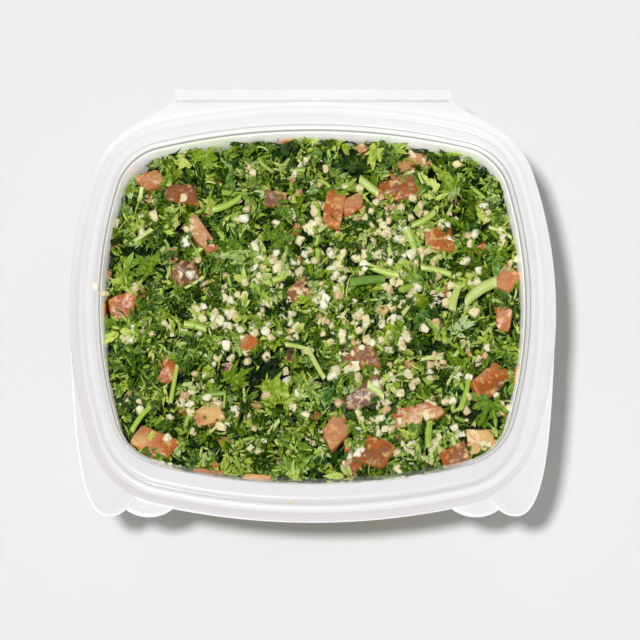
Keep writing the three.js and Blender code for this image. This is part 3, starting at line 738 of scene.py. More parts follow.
# The larger tomato pieces: [x, y, length, width, turn in degrees, ripeness 0 to 1].
TOMATO_PIECES = [
    (-46, 38, 8, 5.5, 20, 0.3), (-37, 34, 10, 6, -15, 0.72), (-31.5, 22, 13, 4.8, -55, 0.25),
    (-36, 10.8, 8.4, 7, 8, 0.95), (-10.5, 32.5, 6.5, 5, 0, 0.8), (6, 29.5, 12, 6.5, 80, 0.4),
    (11.5, 31, 7, 5, 35, 0.25), (24, 35.5, 14, 6.6, 4, 0.62), (28, 43.5, 12, 5.5, 18, 0.2),
    (36, 21, 9.4, 8.2, -5, 0.45), (54, 9, 8.5, 7, 60, 0.3), (-53.8, 0.8, 8, 8, 12, 0.5),
    (-3.5, 5.5, 8, 5.5, 30, 0.8), (-18.5, -9.8, 6, 4, 40, 0.25), (-40.5, -18.5, 7, 4.6, 60, 0.4),
    (13.5, -13.5, 11, 6.4, 0, 0.8), (14.5, -25, 13.5, 6.5, 35, 0.92), (29, -30.5, 15.5, 5.6, 18, 0.22),
    (6.5, -35.5, 9.6, 7.4, 50, 0.28), (17, -41, 10.5, 8.6, -30, 0.56), (40, -43, 9.5, 6.4, 25, 0.7),
    (47, -38.5, 9, 8.6, 0, 0.0), (50, -20.5, 12.5, 7.4, 35, 0.48), (-29, -30.5, 9, 6.6, 20, 0.02),
    (-44.5, -38.5, 12.5, 7.2, -25, 0.3), (11, -46, 7, 6.4, 8, 0.6), (54, -3, 6.5, 4.5, 80, 0.35),
]
# The leaves that stand out: [x, y, length, width, turn, tone].
LARGE_LEAVES = [
    (12.5, 45, 14, 10, 95, 0.25), (-29.5, 46.5, 13, 11, 60, 0.7), (-10.5, -22, 18, 15, 100, 0.78),
    (31.5, -10.5, 9.5, 7, 10, 0.3), (48, -31, 15, 12, -120, 0.55), (-7.5, 21, 16, 12, 20, 0.5),
    (-48, 14, 13, 10, 150, 0.6), (-22, -18, 15, 12, 75, 0.6),
]
# Cut stalks that stand out: [x, y, length, turn, thickness, tone].
LONG_STEMS = [
    (16, 36, 7, -40, 2.4, 0.75), (18.5, 11.5, 12, -22, 2.0, 0.7), (15.5, 8.5, 10, 8, 2.6, 0.2),
    (35.5, 11.3, 10, -15, 2.0, 0.7), (47, 5.5, 11, 35, 3.2, 0.8), (40, 3, 7.5, 75, 2.2, 0.75),
    (-33, -5, 6.5, -15, 2.2, 0.6), (18, -23.8, 6, -40, 2.2, 0.85), (43, -25, 10, 75, 1.6, 0.6),
    (-48.5, -32, 9, 55, 1.5, 0.6), (28, 20, 7.5, -70, 2.2, 0.7), (-24, 30.5, 9, 25, 2.0, 0.6),
    (31.5, 26, 8, 30, 2.0, 0.65), (-39, -22, 11, 80, 1.3, 0.6), (-4.6, -10.8, 6.5, -10, 1.4, 0.75),
    (0.8, -15.9, 10.4, -62, 1.5, 0.75), (32.5, -36.7, 7.5, 88, 2.0, 0.55),
]


def uncovered(x, y, chance):
    """False for most of the places that would hide a tomato piece, leaf or stalk that stands out."""
    hidden = np.zeros(len(x), bool)
    rows = [(*row[:5], 0.4) for row in TOMATO_PIECES + LARGE_LEAVES]
    rows += [(px, py, length, thick, turn, 0.55) for px, py, length, turn, thick, _ in LONG_STEMS]
    for px, py, length, width, turn, share in rows:
        c, s = math.cos(math.radians(turn)), math.sin(math.radians(turn))
        along, across = (x - px) * c + (y - py) * s, (y - py) * c - (x - px) * s
        hidden |= (along / (share * length + 0.8)) ** 2 + (across / (share * width + 0.8)) ** 2 < 1
    return ~hidden | (rng.random(len(x)) > chance)


def open_places(count, margin, chance):
    """Places over the heap without most of those that would hide a piece that stands out."""
    x, y = heap_places(count, margin)
    keep = uncovered(x, y, chance)
    return x[keep], y[keep]


# ---------- the pieces of the heap ----------


def turned(points, turn, lean, roll):
    """Turns pieces (n, k, 3) about X by roll, then Y by lean, then Z by turn."""
    def rotation(axis, angle):
        c, s = np.cos(angle), np.sin(angle)
        matrix = np.zeros((len(angle), 3, 3))
        i, j = [(1, 2), (2, 0), (0, 1)][axis]
        matrix[:, axis, axis] = 1
        matrix[:, i, i] = matrix[:, j, j] = c
        matrix[:, i, j], matrix[:, j, i] = -s, s
        return matrix
    matrix = rotation(2, turn) @ rotation(1, lean) @ rotation(0, roll)
    return np.einsum("nij,nkj->nki", matrix, points)


def leaflets(n, tips, length, width, notch, fine=True):
    """Bits of leaf with toothed lobes round a base, thin at the edge, creased and curled. Small ones are not
    fine, and have no ring of points between their middle and their edge.

    Returns points, faces and how much lighter or darker each point is.
    """
    count = 2 * tips
    k = np.arange(count)
    form = np.array([notch, 0.78, 0.42 + notch / 2, 1.0, 0.42 + notch / 2, 0.78])[k % 6]
    angle = (k + rng.uniform(-0.35, 0.35, (n, count))) / count * TURN - math.pi
    reach = form * rng.uniform(0.62, 1.28, (n, count))
    long, wide = length[:, None], width[:, None]
    x = np.cos(angle) * reach * np.where(np.cos(angle) > 0, 0.66, 0.3) * long
    y = np.sin(angle) * reach * 0.5 * wide
    crease = rng.uniform(-0.4, 1.0, (n, 1))
    curl = rng.uniform(-0.5, 1.0, (n, 1)) / long
    twist = rng.uniform(-0.9, 0.9, (n, 1)) / long
    ruffle = rng.uniform(0.03, 0.12, (n, 1)) * wide * np.sin(3 * angle + rng.uniform(0, TURN, (n, 1)))
    pleat = rng.uniform(0.02, 0.1, (n, 1)) * wide
    sheets = []
    for share in (0.52, 1.0):
        px, py = x * share, y * share
        rise = crease * np.abs(py) - curl * (px**2 + py**2) + twist * px * py
        rise = rise + np.array([1, 0.1, 0.3, -1, 0.3, 0.1])[k % 6] * pleat * share + ruffle * share**2
        sheets.append(np.stack([px, py, rise], -1))
    inner, outer = sheets
    outer[..., 2] += rng.uniform(-0.25, 0.25, (n, count))
    heading = rng.uniform(0, TURN, n)
    slash = np.stack([np.cos(heading), np.sin(heading)], 1)
    limit = np.where(rng.random(n) < 0.5, rng.uniform(0.1, 0.4, n), 9) * length
    for sheet in (inner, outer):
        over = np.maximum(np.einsum("nkj,nj->nk", sheet[..., :2], slash) - limit[:, None], 0)
        sheet[..., :2] -= over[..., None] * slash[:, None]
    middle = np.zeros((n, 1, 3))
    half = np.array([0, 0, 0.13])
    nxt = (k + 1) % count
    inner_tone = np.array([-0.12, 0.02, -0.06, 0.16, -0.06, 0.02])[k % 6]
    outer_tone = np.array([-0.16, 0.1, -0.02, 0.14, -0.02, 0.1])[k % 6]
    if not fine:
        points = np.concatenate([middle + half, outer, middle - half], 1)
        faces = np.concatenate([triangles(0, 1 + k, 1 + nxt), triangles(1 + count, 1 + nxt, 1 + k)])
        return points, faces, np.concatenate([[0.1], outer_tone, [0.1]])
    points = np.concatenate([middle + half, inner + half * 0.8, outer, inner - half * 0.8, middle - half], 1)
    up, rim, low, base = 1, 1 + count, 1 + 2 * count, 1 + 3 * count
    faces = np.concatenate([
        triangles(0, up + k, up + nxt), triangles(up + k, rim + k, rim + nxt),
        triangles(up + k, rim + nxt, up + nxt), triangles(low + k, rim + nxt, rim + k),
        triangles(low + k, low + nxt, rim + nxt), triangles(base, low + nxt, low + k),
    ])
    return points, faces, np.concatenate([[0.12], inner_tone, outer_tone, inner_tone, [0.1]])


def blades(spine, side, half_width, thick, fold):
    """Thin pointed blades along spine (n, s, 3) that widen along side (n, 3). Returns points and faces."""
    inner = spine[:, 1:-1]
    up = np.array([0.0, 0.0, 1.0])
    wide = half_width[:, :, None] * side[:, None]
    raised = (fold * half_width)[:, :, None] * up
    half_thick = thick / 2 * up
    rings = [inner + wide + raised, inner + half_thick, inner - wide + raised, inner - half_thick]
    s = inner.shape[1]
    skin = np.stack(rings, 2).reshape(len(spine), s * 4, 3)
    points = np.concatenate([spine[:, :1], skin, spine[:, -1:]], 1)
    k = np.arange(4)
    nxt = (k + 1) % 4
    faces = [triangles(0, 1 + k, 1 + nxt)]
    for r in range(s - 1):
        a, b = 1 + 4 * r + k, 1 + 4 * r + nxt
        faces += [triangles(a, a + 4, b + 4), triangles(a, b + 4, b)]
    last = 1 + 4 * (s - 1)
    faces.append(triangles(last + k, 1 + 4 * s, last + nxt))
    return points, np.concatenate(faces)


def sprigs(n, length, lobes):
    """Feathery tips: pointed lobes that branch off one short rib. Returns points, faces, tone shift."""
    share = np.linspace(-1, 1, lobes)[None] + rng.uniform(-0.12, 0.12, (n, lobes))
    heading = share * 1.15
    reach = length[:, None] * (0.72 - 0.3 * np.abs(share)) * rng.uniform(0.75, 1.2, (n, lobes))
    start = length[:, None] * (0.12 - 0.42 * np.abs(share))
    s = np.array([0, 0.3, 0.68, 1.0])
    bow = rng.uniform(-0.35, 0.35, (n, lobes))[..., None] * s
    direction = heading[..., None] + bow
    x = start[..., None] + reach[..., None] * s * np.cos(direction)
    y = reach[..., None] * s * np.sin(direction)
    droop = rng.uniform(-0.5, 0.7, (n, lobes))[..., None] * reach[..., None] * s**2 * 0.6
    spine = np.stack([x, y, droop], -1).reshape(n * lobes, 4, 3)
    flat = heading.reshape(-1)
    side = np.stack([-np.sin(flat), np.cos(flat), rng.uniform(-0.4, 0.4, n * lobes)], -1)
    half = (reach * 0.17).reshape(-1, 1) * np.array([[1.0, 0.8]])
    points, faces = blades(spine, side, half, 0.22, rng.uniform(0.25, 0.6))
    k = points.shape[1]
    all_faces = np.concatenate([faces + i * k for i in range(lobes)])
    shift = np.tile(np.concatenate([[-0.05], np.tile([0.08, 0.0, 0.08, -0.1], 2), [0.18]]), lobes)
    return points.reshape(n, lobes * k, 3), all_faces, shift


def shreds(n, length, width):
    """Narrow curved slivers of leaf and stalk."""
    s = np.linspace(0, 1, 7)
    bend = rng.uniform(-1.6, 1.6, (n, 1))
    heading = bend * (s - 0.5)
    step = length[:, None] / 6
    x = np.cumsum(np.cos(heading) * step, 1) - length[:, None] / 2
    y = np.cumsum(np.sin(heading) * step, 1)
    z = rng.uniform(-0.8, 0.8, (n, 1)) / length[:, None] * x**2
    spine = np.stack([x, y, z], -1)
    side = np.stack([0 * bend[:, 0], np.ones(n), rng.uniform(-0.7, 0.7, n)], -1)
    half = width[:, None] / 2 * np.array([[0.75, 1.0, 1.0, 0.95, 0.6]])
    points, faces = blades(spine, side, half, 0.25, 0.35)
    shift = np.concatenate([[0], np.tile([0.1, 0.0, 0.1, -0.1], 5), [0.05]])
    return points, faces, shift


def stalks(n, length, thick):
    """Cut stalks: slightly bowed ribbed tubes with flat ends."""
    around, stations = 12, 8
    turns = np.linspace(0, TURN, around, endpoint=False)
    s = np.linspace(-0.5, 0.5, stations)
    rib = 1 + 0.05 * np.cos(turns * 5)
    bow = rng.uniform(-0.9, 0.9, (n, 1)) / 12
    x = np.repeat((length[:, None] * s)[:, :, None], around, 2)
    slant = rng.uniform(-0.35, 0.35, (n, 1, 1)) * thick[:, None, None]
    x = x + slant * np.cos(turns) * np.abs(s[None, :, None]) * 2
    taper = (1 - rng.uniform(0, 0.25, (n, 1)) * s)[:, :, None]
    radius = thick[:, None, None] / 2 * rib * taper * np.where(np.abs(s) > 0.49, 0.9, 1.0)[None, :, None]
    y = radius * np.cos(turns) + (bow * length[:, None] * s**2 * 4)[:, :, None]
    z = radius * np.sin(turns) * 0.85
    points, faces = tubes(np.stack([x, y, z], -1))
    pale = np.zeros((stations, around))
    pale[[0, -1]] = 0.15
    return points, faces, np.concatenate([pale.ravel(), [0.35, 0.35]])


def ball(subdivisions):
    """Points and triangles of a unit sphere."""
    made = bmesh.new()
    bmesh.ops.create_icosphere(made, subdivisions=subdivisions, radius=1)
    points = np.array([v.co for v in made.verts])
    faces = np.array([[v.index for v in f.verts] for f in made.faces])
    made.free()
    return points, faces


def grains(n, size, subdivisions=3):
    """Cracked wheat: blocky crumbs with six tilted flats and a broken corner or two, no two alike."""
    globe, faces = ball(subdivisions)
    corner = 1.28
    reach = np.full((n, len(globe)), corner)
    flats = [(axis, way, 0.68, 0.88) for axis in np.eye(3) for way in (1, -1)]
    flats += [(np.zeros(3), 1, 0.8, 1.05)] * 2
    for axis, way, near, far in flats:
        normal = unit(rng.normal(0, 0.22, (n, 3)) + axis * way)
        facing = np.maximum((globe @ normal.T).T, 0.05)
        reach = np.minimum(reach, rng.uniform(near, far, (n, 1)) / facing)
    for frequency, size_share in ((3, 0.05), (7, 0.03)):
        direction = rng.normal(size=(n, 3)) * frequency / 2
        reach = reach + size_share * np.sin(globe @ direction.T + rng.uniform(0, 6, n)).T
    spans = (0.95, 1.3), (0.85, 1.05), (0.75, 1.0)
    stretch = np.stack([rng.uniform(low, high, n) for low, high in spans], 1)
    return globe[None] * reach[..., None] * stretch[:, None] * (size / 2)[:, None, None], faces


def dice(n, length, width, height, turn):
    """Slabs of tomato with four or five straight cut sides, whose foot leans out to the front so that a side
    shows. turn is how far each will be turned. Also returns how much each point is part of a cut side, and
    how much riper one end is."""
    around = 40
    turns = np.linspace(0, TURN, around, endpoint=False)
    outline = np.full((n, around), 1.3)
    for side in range(5):
        heading = side * TURN / 4 + rng.normal(0, 0.2, (n, 1)) if side < 4 else rng.uniform(0, TURN, (n, 1))
        near, far = (0.8, 0.98) if side < 4 else (0.85, 1.15)
        facing = np.maximum(np.cos(turns[None] - heading), 0.05)
        outline = np.minimum(outline, rng.uniform(near, far, (n, 1)) / facing)
    outline = outline + 0.025 * np.sin(5 * turns[None] + rng.uniform(0, TURN, (n, 1)))
    profile = [
        (0.4, 1.0), (0.75, 1.0), (0.93, 0.98), (0.985, 0.86), (1.0, 0.6), (1.0, 0), (1.0, -0.5), (0.95, -0.9),
        (0.6, -1.0),
    ]
    radial, level = np.array(profile).T
    x = outline[:, None] * radial[None, :, None] * np.cos(turns) * length[:, None, None] / 2
    y = outline[:, None] * radial[None, :, None] * np.sin(turns) * width[:, None, None] / 2
    heading = rng.normal(-math.pi / 2, 0.7, n) - turn
    lean_out = height * rng.uniform(0.1, 0.4, n)
    sunk = (1 - level)[None, :, None] / 2
    x = x + (lean_out * np.cos(heading))[:, None, None] * sunk
    y = y + (lean_out * np.sin(heading))[:, None, None] * sunk
    phase = rng.uniform(0, 6, (n, 1, 1))
    lump = 0.22 * np.sin(x * 0.8 + phase) * np.cos(y * 0.9 - phase) + 0.06 * np.sin(x * 2.7 - y * 2.1 + phase)
    z = level[None, :, None] * height[:, None, None] / 2 + lump * (level > -0.6)[None, :, None]
    points, faces = tubes(np.stack([x, y, z], -1)[:, ::-1])
    cut_side = np.interp(level[::-1], [0.75, 0.9], [0.85, 0]) * np.ones((around, 1))
    shade = np.cos(turns[None] - rng.uniform(0, TURN, (n, 1))) * rng.uniform(0.04, 0.2, (n, 1))
    shade = (shade[:, None] * radial[::-1, None]).reshape(n, -1)
    return points, faces, np.concatenate([cut_side.T.ravel(), [0.85, 0]]), np.pad(shade, ((0, 0), (0, 2)))


def lay(points, x, y, lift, turn, lean, roll):
    """Turns pieces and sets them on the heap, their middles this far over its surface."""
    placed = turned(points, turn, lean, roll)
    middle = np.stack([x, y, surface(x, y) + lift], -1)
    return keep_in_tray(placed + middle[:, None])


def tumbled(n, spread):
    """Random turn, lean and roll for n pieces."""
    return rng.uniform(0, TURN, n), rng.normal(0, spread, n), rng.normal(0, spread, n)


def leaf_tone(x, y, lift, shift, low, high):
    """Tone of leaf pieces: brighter the higher they lie, a painted light and shade, patchy over the heap, and
    varied within a piece.
    """
    base = rng.uniform(low, high, len(x)) + 0.1 * (lift - 1.0) + 0.12 * clumps(x * 0.35 + 9, y * 0.35)
    return np.clip(base[:, None] + shift, 0.02, 1)


def leaf_cool(x, y):
    """How blue the green of each leaf piece is: patchy, and mostly little."""
    return np.clip(rng.normal(0.22, 0.3, len(x)) + 0.25 * clumps(x * 0.3, y * 0.3 + 5), 0, 1)


def make_heap(name, build, material, slot, sharp=60):
    build.make(name, material, "base", slot, "salad", sharp)


def core():
    """The mass inside, painted dark as the shade deep in the heap: filled out to the tray, a little lower
    than the heap's surface.
    """
    angles = turn_angles(10, 12, 14)
    bottom = offset_section(WALL, -GAP / 2 - CORE_INTO_WALL) + (0, EDGE_Z)
    floor = MOUTH.points(angles, FOOT - LAND + KICK_UP)
    rings = [at_height(floor * share, bottom[-1, 1]) for share in np.linspace(1, 0.04, 34)[::-1]]
    rings += [at_height(MOUTH.points(angles, d - LAND), z) for d, z in bottom[-2:0:-1]]
    low = rings[-1]
    brink = MOUTH.points(angles, 1)
    edge = keep_in_tray(at_height(brink, CORE_EDGE_NEAR), CORE_INTO_WALL)
    edge = at_height(brink, surface(edge[:, 0], edge[:, 1]) - CORE_EDGE_SUNK)
    edge = keep_in_tray(edge, CORE_INTO_WALL)
    rings += [low + (edge - low) * share for share in np.linspace(0, 1, 12)[1:]]
    for share in np.linspace(1, 0.02, 52)[1:]:
        plan = edge[:, :2] * share
        x, y = plan[:, 0], plan[:, 1]
        rings.append(at_height(plan, surface(x, y) - CORE_SUNK + 0.9 * clumps(x * 1.3, y * 1.3)))
    build = Build()
    build.add(*capped_loft(np.array(rings)))
    make_heap("heap_core", build, food_material("heap_core"), "parsley")


# Layers of leaf bits: [tips, how many, mean length, notch, lowest and highest lift].
LOW_LAYERS = [(9, 600, 7.0, 0.4, -2.2, 0.2), (9, 1000, 4.8, 0.4, -2.2, 0.6)]
HIGH_LAYERS = [(15, 130, 8.0, 0.3, 0.0, 1.4), (9, 900, 4.6, 0.3, -0.2, 1.8)]
CHIP_LAYERS = [(6, 1700, 3.0, 0.35, -0.4, 2.1), (3, 2400, 2.0, 0.6, -0.8, 2.2)]
CLUMPING = 1.15  # how far lumps raise the leaf pieces and gaps lower them


def scatter(build, make, count, margin, chance, low, high, spread, tones):
    """Lays a layer of leaf pieces over the heap. make gives the points, faces and tone shift of n pieces."""
    x, y = open_places(count, margin, chance)
    points, faces, shift = make(len(x))
    lift = rng.uniform(low, high, len(x)) + CLUMPING * clumps(x, y)
    placed = lay(points, x, y, lift, *tumbled(len(x), spread))
    tone = leaf_tone(x, y, lift, shift, *tones)
    build.add_copies(placed, faces, tone=tone, cool=leaf_cool(x, y)[:, None])


def sized(n, mean, spread, low, high):
    return np.clip(rng.lognormal(math.log(mean), spread, n), low, high)


def varied(n, low, high, shift):
    """A tone for each of n pieces, with what each of their points adds."""
    return np.clip(rng.uniform(low, high, (n, 1)) + shift, 0, 1)


def leaflet_maker(tips, mean, notch, fine):
    def make(n):
        length = sized(n, mean, 0.25, 0.5 * mean, 1.8 * mean)
        return leaflets(n, tips, length, length * rng.uniform(0.5, 0.95, n), notch, fine)
    return make


def top_leaflets(name, leaf, layers, tones, fine=True):
    build = Build()
    for tips, count, mean, notch, low, high in layers:
        scatter(build, leaflet_maker(tips, mean, notch, fine), count, 0.3, 0.85, low, high, 0.6, tones)
    make_heap(name, build, leaf, "parsley")


def top_sprigs(leaf):
    build = Build()
    for lobes, count, mean in ((7, 620, 6.0), (5, 800, 4.2)):
        make = lambda n: sprigs(n, sized(n, mean, 0.25, 2.5, 10), lobes)
        scatter(build, make, count, 0.6, 0.9, -0.2, 1.9, 0.4, (0.2, 0.95))
    make_heap("parsley_sprigs", build, leaf, "parsley")


def top_shreds(leaf):
    build = Build()
    make = lambda n: shreds(n, sized(n, 3.6, 0.4, 1.5, 9), rng.uniform(0.25, 0.7, n))
    scatter(build, make, 1900, 0.5, 0.9, -0.3, 2.1, 0.5, (0.3, 1.0))
    make_heap("parsley_shreds", build, leaf, "parsley")


def large_leaves(leaf):
    """Leaves of five toothed lobes that fan out from the end of their stalk."""
    build = Build()
    for x, y, length, width, turn, tone in LARGE_LEAVES:
        heading = np.linspace(-1.2, 1.2, 5) * width / length * 1.2 + rng.normal(0, 0.08, 5)
        reach = length * (0.72 - 0.2 * np.abs(heading)) * rng.uniform(0.9, 1.1, 5)
        lobes, faces, shift = leaflets(5, 9, reach, reach * 0.62, 0.45)
        lobes[..., 0] += 0.28 * reach[:, None]
        lobes = turned(lobes, heading, np.zeros(5), np.zeros(5)) - (0.35 * length, 0, 0)
        lobes[..., 2] += rng.uniform(-0.3, 0.3, (5, 1))
        all_faces = np.concatenate([faces + i * len(shift) for i in range(5)])
        pose = [np.array([v]) for v in (math.radians(turn), rng.normal(0, 0.14), rng.normal(0, 0.14))]
        placed = lay(lobes.reshape(1, -1, 3), np.array([x]), np.array([y]), np.array([1.9]), *pose)
        build.add_copies(placed, all_faces, tone=np.clip(tone + np.tile(shift, 5), 0, 1), cool=0.1)
    make_heap("parsley_leaves", build, leaf, "parsley")


# Where wheat gathers: [x, y, reach].
WHEAT_BLOBS = [
    (17, 2, 16), (-18, -2, 15), (39, 0, 14), (33, -29, 18), (33, 28, 12), (-8, 22, 14), (-28, -22, 13),
]


def wheat(material):
    """Loose grains all over, denser in the middle and to the right, often a few together."""
    x, y = heap_places(900, 1.2)
    near = (np.exp(-(((x - bx) ** 2 + (y - by) ** 2) / reach**2)) for bx, by, reach in WHEAT_BLOBS)
    dense = 0.25 + sum(near)
    keep = rng.random(len(x)) < 0.26 * dense / dense.mean()
    x, y = x[keep], y[keep]
    group = rng.choice([1, 1, 2, 2, 3, 4, 5], len(x))
    heading = np.repeat(rng.uniform(0, TURN, len(x)), group)
    order = np.concatenate([np.arange(g) for g in group])
    x = np.repeat(x, group) + order * 2.0 * np.cos(heading + 0.9 * order)
    y = np.repeat(y, group) + order * 2.0 * np.sin(heading + 0.9 * order)
    inside, _ = MOUTH.depth(x, y)
    keep = (inside > 4.2) & uncovered(x, y, 0.3)
    x, y = x[keep][:600], y[keep][:600]
    n = len(x)
    size = rng.choice([1.7, 2.2, 2.5, 2.7], n, p=[0.15, 0.25, 0.35, 0.25])
    points, faces = grains(n, size * rng.uniform(0.9, 1.1, n))
    lift = rng.uniform(0.3, 1.8, n) + 0.9 * clumps(x, y)
    placed = lay(points, x, y, lift, *tumbled(n, 0.5))
    build = Build()
    build.add_copies(placed, faces, tone=np.clip(rng.normal(0.66, 0.24, n), 0.0, 1)[:, None])
    make_heap("wheat_grains", build, material, "wheat")


def top_stalks(material):
    build = Build()
    x, y, length, turn, thick, tone = np.array(LONG_STEMS).T
    n = len(x)
    points, faces, shift = stalks(n, length, thick)
    placed = lay(points, x, y, np.full(n, 2.2), np.radians(turn), rng.normal(0, 0.08, n), np.zeros(n))
    build.add_copies(placed, faces, tone=np.clip(tone[:, None] + shift, 0, 1))
    x, y = open_places(190, 2.0, 0.9)
    n = len(x)
    thick = sized(n, 1.15, 0.3, 0.7, 2.3)
    points, faces, shift = stalks(n, sized(n, 4.5, 0.35, 2, 9), thick)
    lift = rng.uniform(0.4, 1.9, n) + 0.9 * clumps(x, y)
    placed = lay(points, x, y, lift, rng.uniform(0, TURN, n), rng.normal(0, 0.3, n), np.zeros(n))
    build.add_copies(placed, faces, tone=varied(n, 0.35, 0.9, shift))
    make_heap("parsley_stalks", build, material, "stem")


def tomatoes(material):
    """The pieces of TOMATO_PIECES, and small random ones that follow the lumps."""
    build = Build()
    rows = np.array(TOMATO_PIECES)
    x, y = heap_places(60, 1.5)
    spans = (2.5, 5), (2, 4), (0, 360), (0, 1)  # of length, width, turn and ripeness
    small = np.stack([x, y, *(rng.uniform(low, high, len(x)) for low, high in spans)], 1)
    for table, lift, gather, heights in ((rows, 0.5, 0, (2.4, 3.4)), (small, 0.1, 0.4, (1.4, 2.4))):
        x, y, length, width, degrees, ripe = table.T
        n, turn = len(x), np.radians(degrees)
        height = rng.uniform(*heights, n)
        points, faces, cut_side, shade = dice(n, length, width, height, turn)
        pose = turn, rng.normal(0, 0.14, n), rng.normal(0, 0.14, n)
        placed = lay(points, x, y, lift + gather * clumps(x, y), *pose)
        build.add_copies(placed, faces, ripe=ripe[:, None] + shade, cut=cut_side)
    make_heap("tomato_dice", build, material, "tomato", 35)


# ---------- what shows through the wall and the floor ----------


def pressed_frames(n_side, n_floor):
    """How many places were found on the tray's inner face, and each one's middle and its directions outwards,
    sideways and upwards."""
    angle = np.linspace(0, TURN, 2001)
    plan = MOUTH.points(angle, 5)
    travel = np.concatenate([[0], np.cumsum(np.linalg.norm(np.diff(plan, axis=0), axis=1))])
    at = np.interp(rng.random(n_side) * travel[-1], travel, angle)
    z = rng.uniform(1.2, 42.0, n_side)
    inset = wall_distance(z, 0) - LAND
    place = np.array([MOUTH.points(np.array([a]), i)[0] for a, i in zip(at, inset)])
    keep = z < surface(place[:, 0], place[:, 1]) + 0.6
    at = at[keep]
    side_middle = at_height(place[keep], z[keep])
    side_out = at_height(np.stack([np.cos(at), np.sin(at)], 1), -0.12)
    x, y = rng.uniform(-46, 46, n_floor), rng.uniform(-38, 38, n_floor)
    inside, _ = MOUTH.depth(x, y)
    keep = inside > 8
    floor_middle = at_height(np.stack([x[keep], y[keep]], 1), FLOOR_Z)
    floor_out = np.tile([0.0, 0.0, -1.0], (keep.sum(), 1))
    middle = np.concatenate([side_middle, floor_middle])
    out = unit(np.concatenate([side_out, floor_out]))
    helper = np.where(np.abs(out[:, 2:]) > 0.8, [[1.0, 0, 0]], [[0, 0, 1.0]])
    across = unit(np.cross(helper, out))
    return len(middle), (middle, out, across, np.cross(out, across))


def press(points, frames, bulge):
    """Lays pieces flat against the tray's inner face, bulge of their thickness standing inwards."""
    middle, out, across, up = frames
    turn = rng.uniform(0, TURN, len(middle))
    c, s = np.cos(turn)[:, None], np.sin(turn)[:, None]
    a, b = across * c + up * s, up * c - across * s
    flat = points[..., :1] * a[:, None] + points[..., 1:2] * b[:, None]
    placed = flat + points[..., 2:] * out[:, None] * bulge
    depth = rng.uniform(-0.35, 0.25, len(middle))[:, None, None]
    return keep_in_tray(placed + middle[:, None] + out[:, None] * depth, INTO_WALL, PRESSED_TOP)


def pressed_leaves(leaf):
    build = Build()
    for lobes, side, floor in ((6, 1000, 480), (9, 700, 340)):
        n, frames = pressed_frames(side, floor)
        length = sized(n, 5.2, 0.3, 2.8, 11)
        points, faces, shift = leaflets(n, lobes, length, length * rng.uniform(0.5, 0.9, n), 0.55, False)
        tone = varied(n, 0.12, 0.8, shift)
        build.add_copies(press(points, frames, 0.5), faces, tone=tone, cool=rng.choice([0, 0, 0.4], (n, 1)))
    make_heap("pressed_leaves", build, leaf, "parsley")


def pressed_slivers(leaf):
    build = Build()
    n, frames = pressed_frames(900, 380)
    points, faces, shift = shreds(n, sized(n, 4.5, 0.35, 2, 10), rng.uniform(0.5, 1.4, n))
    tone = varied(n, 0.25, 0.95, shift)
    build.add_copies(press(points, frames, 0.6), faces, tone=tone, cool=0.0)
    make_heap("pressed_slivers", build, leaf, "parsley")


def pressed_grains(material):
    build = Build()
    n, frames = pressed_frames(260, 110)
    points, faces = grains(n, rng.uniform(2.0, 2.8, n), 2)
    build.add_copies(press(points, frames, 1.0), faces, tone=rng.uniform(0.3, 0.9, (n, 1)))
    make_heap("pressed_grains", build, material, "wheat")


def pressed_tomato(material):
    build = Build()
    n, frames = pressed_frames(60, 26)
    sizes = rng.uniform(5, 11, n), rng.uniform(4, 7.5, n), rng.uniform(1.5, 2.5, n)
    points, faces, cut_side, shade = dice(n, *sizes, np.zeros(n))
    ripe = rng.uniform(0, 1, (n, 1)) + shade
    build.add_copies(press(points, frames, 0.6), faces, ripe=ripe, cut=cut_side * 0.5)
    make_heap("pressed_tomato", build, material, "tomato")


def pressed_stalks(material):
    build = Build()
    n, frames = pressed_frames(110, 50)
    points, faces, shift = stalks(n, rng.uniform(3, 11, n), rng.uniform(1.0, 2.2, n))
    build.add_copies(press(points, frames, 0.8), faces, tone=varied(n, 0.3, 0.9, shift))
    make_heap("pressed_stalks", build, material, "stem")


# ---------- crumbs on the lid ----------

# One grain and two specks on the lid's rim: [x, y, z, size, tone].
CRUMBS = [(-61.6, 4.3, 48.5, 2.6, 1), (-59.0, 2.6, 47.3, 1.6, 0.5), (-6.3, -57.5, 48.3, 1.5, 0.6)]
CRUMB_FLATNESS = 0.28  # what is left of a crumb's height


def crumbs(material):
    rows = np.array(CRUMBS)
    points, faces = grains(len(rows), rows[:, 3], 2)
    build = Build()
    build.add_copies(points * (1, 1, CRUMB_FLATNESS) + rows[:, None, :3], faces, tone=rows[:, 4:5])
    build.make("lid_crumbs", material, "cover", "wheat", None)


# ---------- stage ----------

FLOOR_DROP = 0.0002  # the floor lies this far below the part's foot, in metres
FLOOR_HALF = 3.0  # half the floor's width, in metres
ZENITH, HORIZON = 0.12, 3.6  # sky brightness overhead, and how much more there is at the horizon
KEY_STRENGTH = 2.5
KEY_SPREAD = 5  # how wide the sun looks, in degrees
KEY_FROM = (-0.14, -0.145, 1)  # the direction that the key's light comes from
LENS = 450
DISTANCE = 2.25  # from the camera to where it looks, in metres
ELEVATION = 75  # of the camera over the level, in degrees
AIM_X, AIM_Y = 2.11, -4.45  # where the camera looks, on the plane where the rims meet


def stage():
    mesh = bpy.data.meshes.new("floor")
    signs = (-1, -1), (1, -1), (1, 1), (-1, 1)
    mesh.from_pydata([(x * FLOOR_HALF, y * FLOOR_HALF, 0) for x, y in signs], [], [(0, 1, 2, 3)])
    floor = new_object("floor", mesh)
    floor.location.z = -FLOOR_DROP
    material, tree, shader = new_material("floor")
    colour = ramp(tree, noise(tree, 2, 2), (0.3, 225, 224, 227), (0.7, 227, 226, 229))
    feed(shader, {"Base Color": colour, "Roughness": 1.0, "Specular IOR Level": 0.0})
    mesh.materials.append(material)


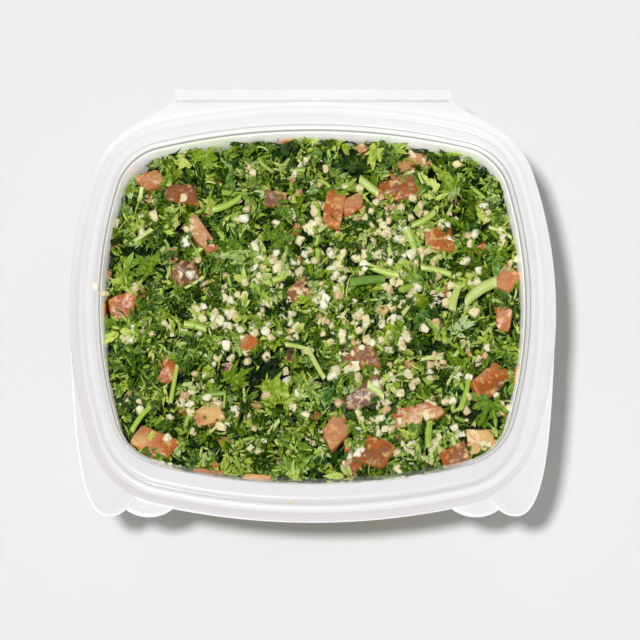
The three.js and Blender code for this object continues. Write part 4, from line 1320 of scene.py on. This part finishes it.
def lights():
    """Soft light from a sky that is brightest low down, and a key from the upper left."""
    world = bpy.data.worlds.new("studio")
    bpy.context.scene.world = world
    world.use_nodes = True
    tree = world.node_tree
    direction = node(tree, "ShaderNodeTexCoord").outputs["Generated"]
    height = node(tree, "ShaderNodeSeparateXYZ", {0: direction}).outputs["Z"]
    low = maths(tree, "SUBTRACT", 1.0, maths(tree, "ABSOLUTE", height), clamp=True)
    glow = maths(tree, "MULTIPLY_ADD", maths(tree, "POWER", low, 4.0), HORIZON, ZENITH)
    feed(tree.nodes["Background"], {"Color": glow})
    data = bpy.data.lights.new("key", "SUN")
    data.energy = KEY_STRENGTH
    data.angle = math.radians(KEY_SPREAD)
    key = new_object("key", data)
    key.rotation_euler = Vector(KEY_FROM).to_track_quat("Z", "Y").to_euler()


def camera():
    """Looks down on the tub from the front, with a long lens."""
    data = bpy.data.cameras.new("camera")
    data.sensor_width = 36
    data.lens = LENS
    data.clip_end = 10
    made = new_object("camera", data)
    aim = Vector((AIM_X * MM, AIM_Y * MM, EDGE_Z * MM))
    elevation = math.radians(ELEVATION)
    away = Vector((0, -math.cos(elevation), math.sin(elevation)))
    made.location = aim + away * DISTANCE
    made.rotation_euler = away.to_track_quat("Z", "Y").to_euler()
    bpy.context.scene.camera = made


def main():
    scene = bpy.context.scene
    scene.view_settings.view_transform = "Standard"
    scene.cycles.transparent_max_bounces = 24
    stage()
    lights()
    camera()
    # Each sheet's second value is its painted glow; the tray's sheet also gets a painted reflection of its
    # salad.
    rim_plastic = plastic_material("clear_lid", 0.03, 0.1, False)
    lid(rim_plastic)
    tray(plastic_material("clear_tray", 0.2, 0.01, True), rim_plastic)
    core()
    leaf, grain, stalk, tomato = map(food_material, ("leaf", "cracked_wheat", "stalk", "tomato"))
    # The low layers have darker tones: painted shade deep in the heap.
    top_leaflets("parsley_leaflets_low", leaf, LOW_LAYERS, (0.0, 0.5), False)
    top_leaflets("parsley_leaflets_high", leaf, HIGH_LAYERS, (0.05, 0.8))
    top_leaflets("parsley_chips", leaf, CHIP_LAYERS, (0.1, 0.9), False)
    top_sprigs(leaf)
    top_shreds(leaf)
    large_leaves(leaf)
    wheat(grain)
    top_stalks(stalk)
    tomatoes(tomato)
    pressed_leaves(leaf)
    pressed_slivers(leaf)
    pressed_grains(grain)
    pressed_tomato(tomato)
    pressed_stalks(stalk)
    crumbs(grain)


main()
bpy.context.view_layer.update()
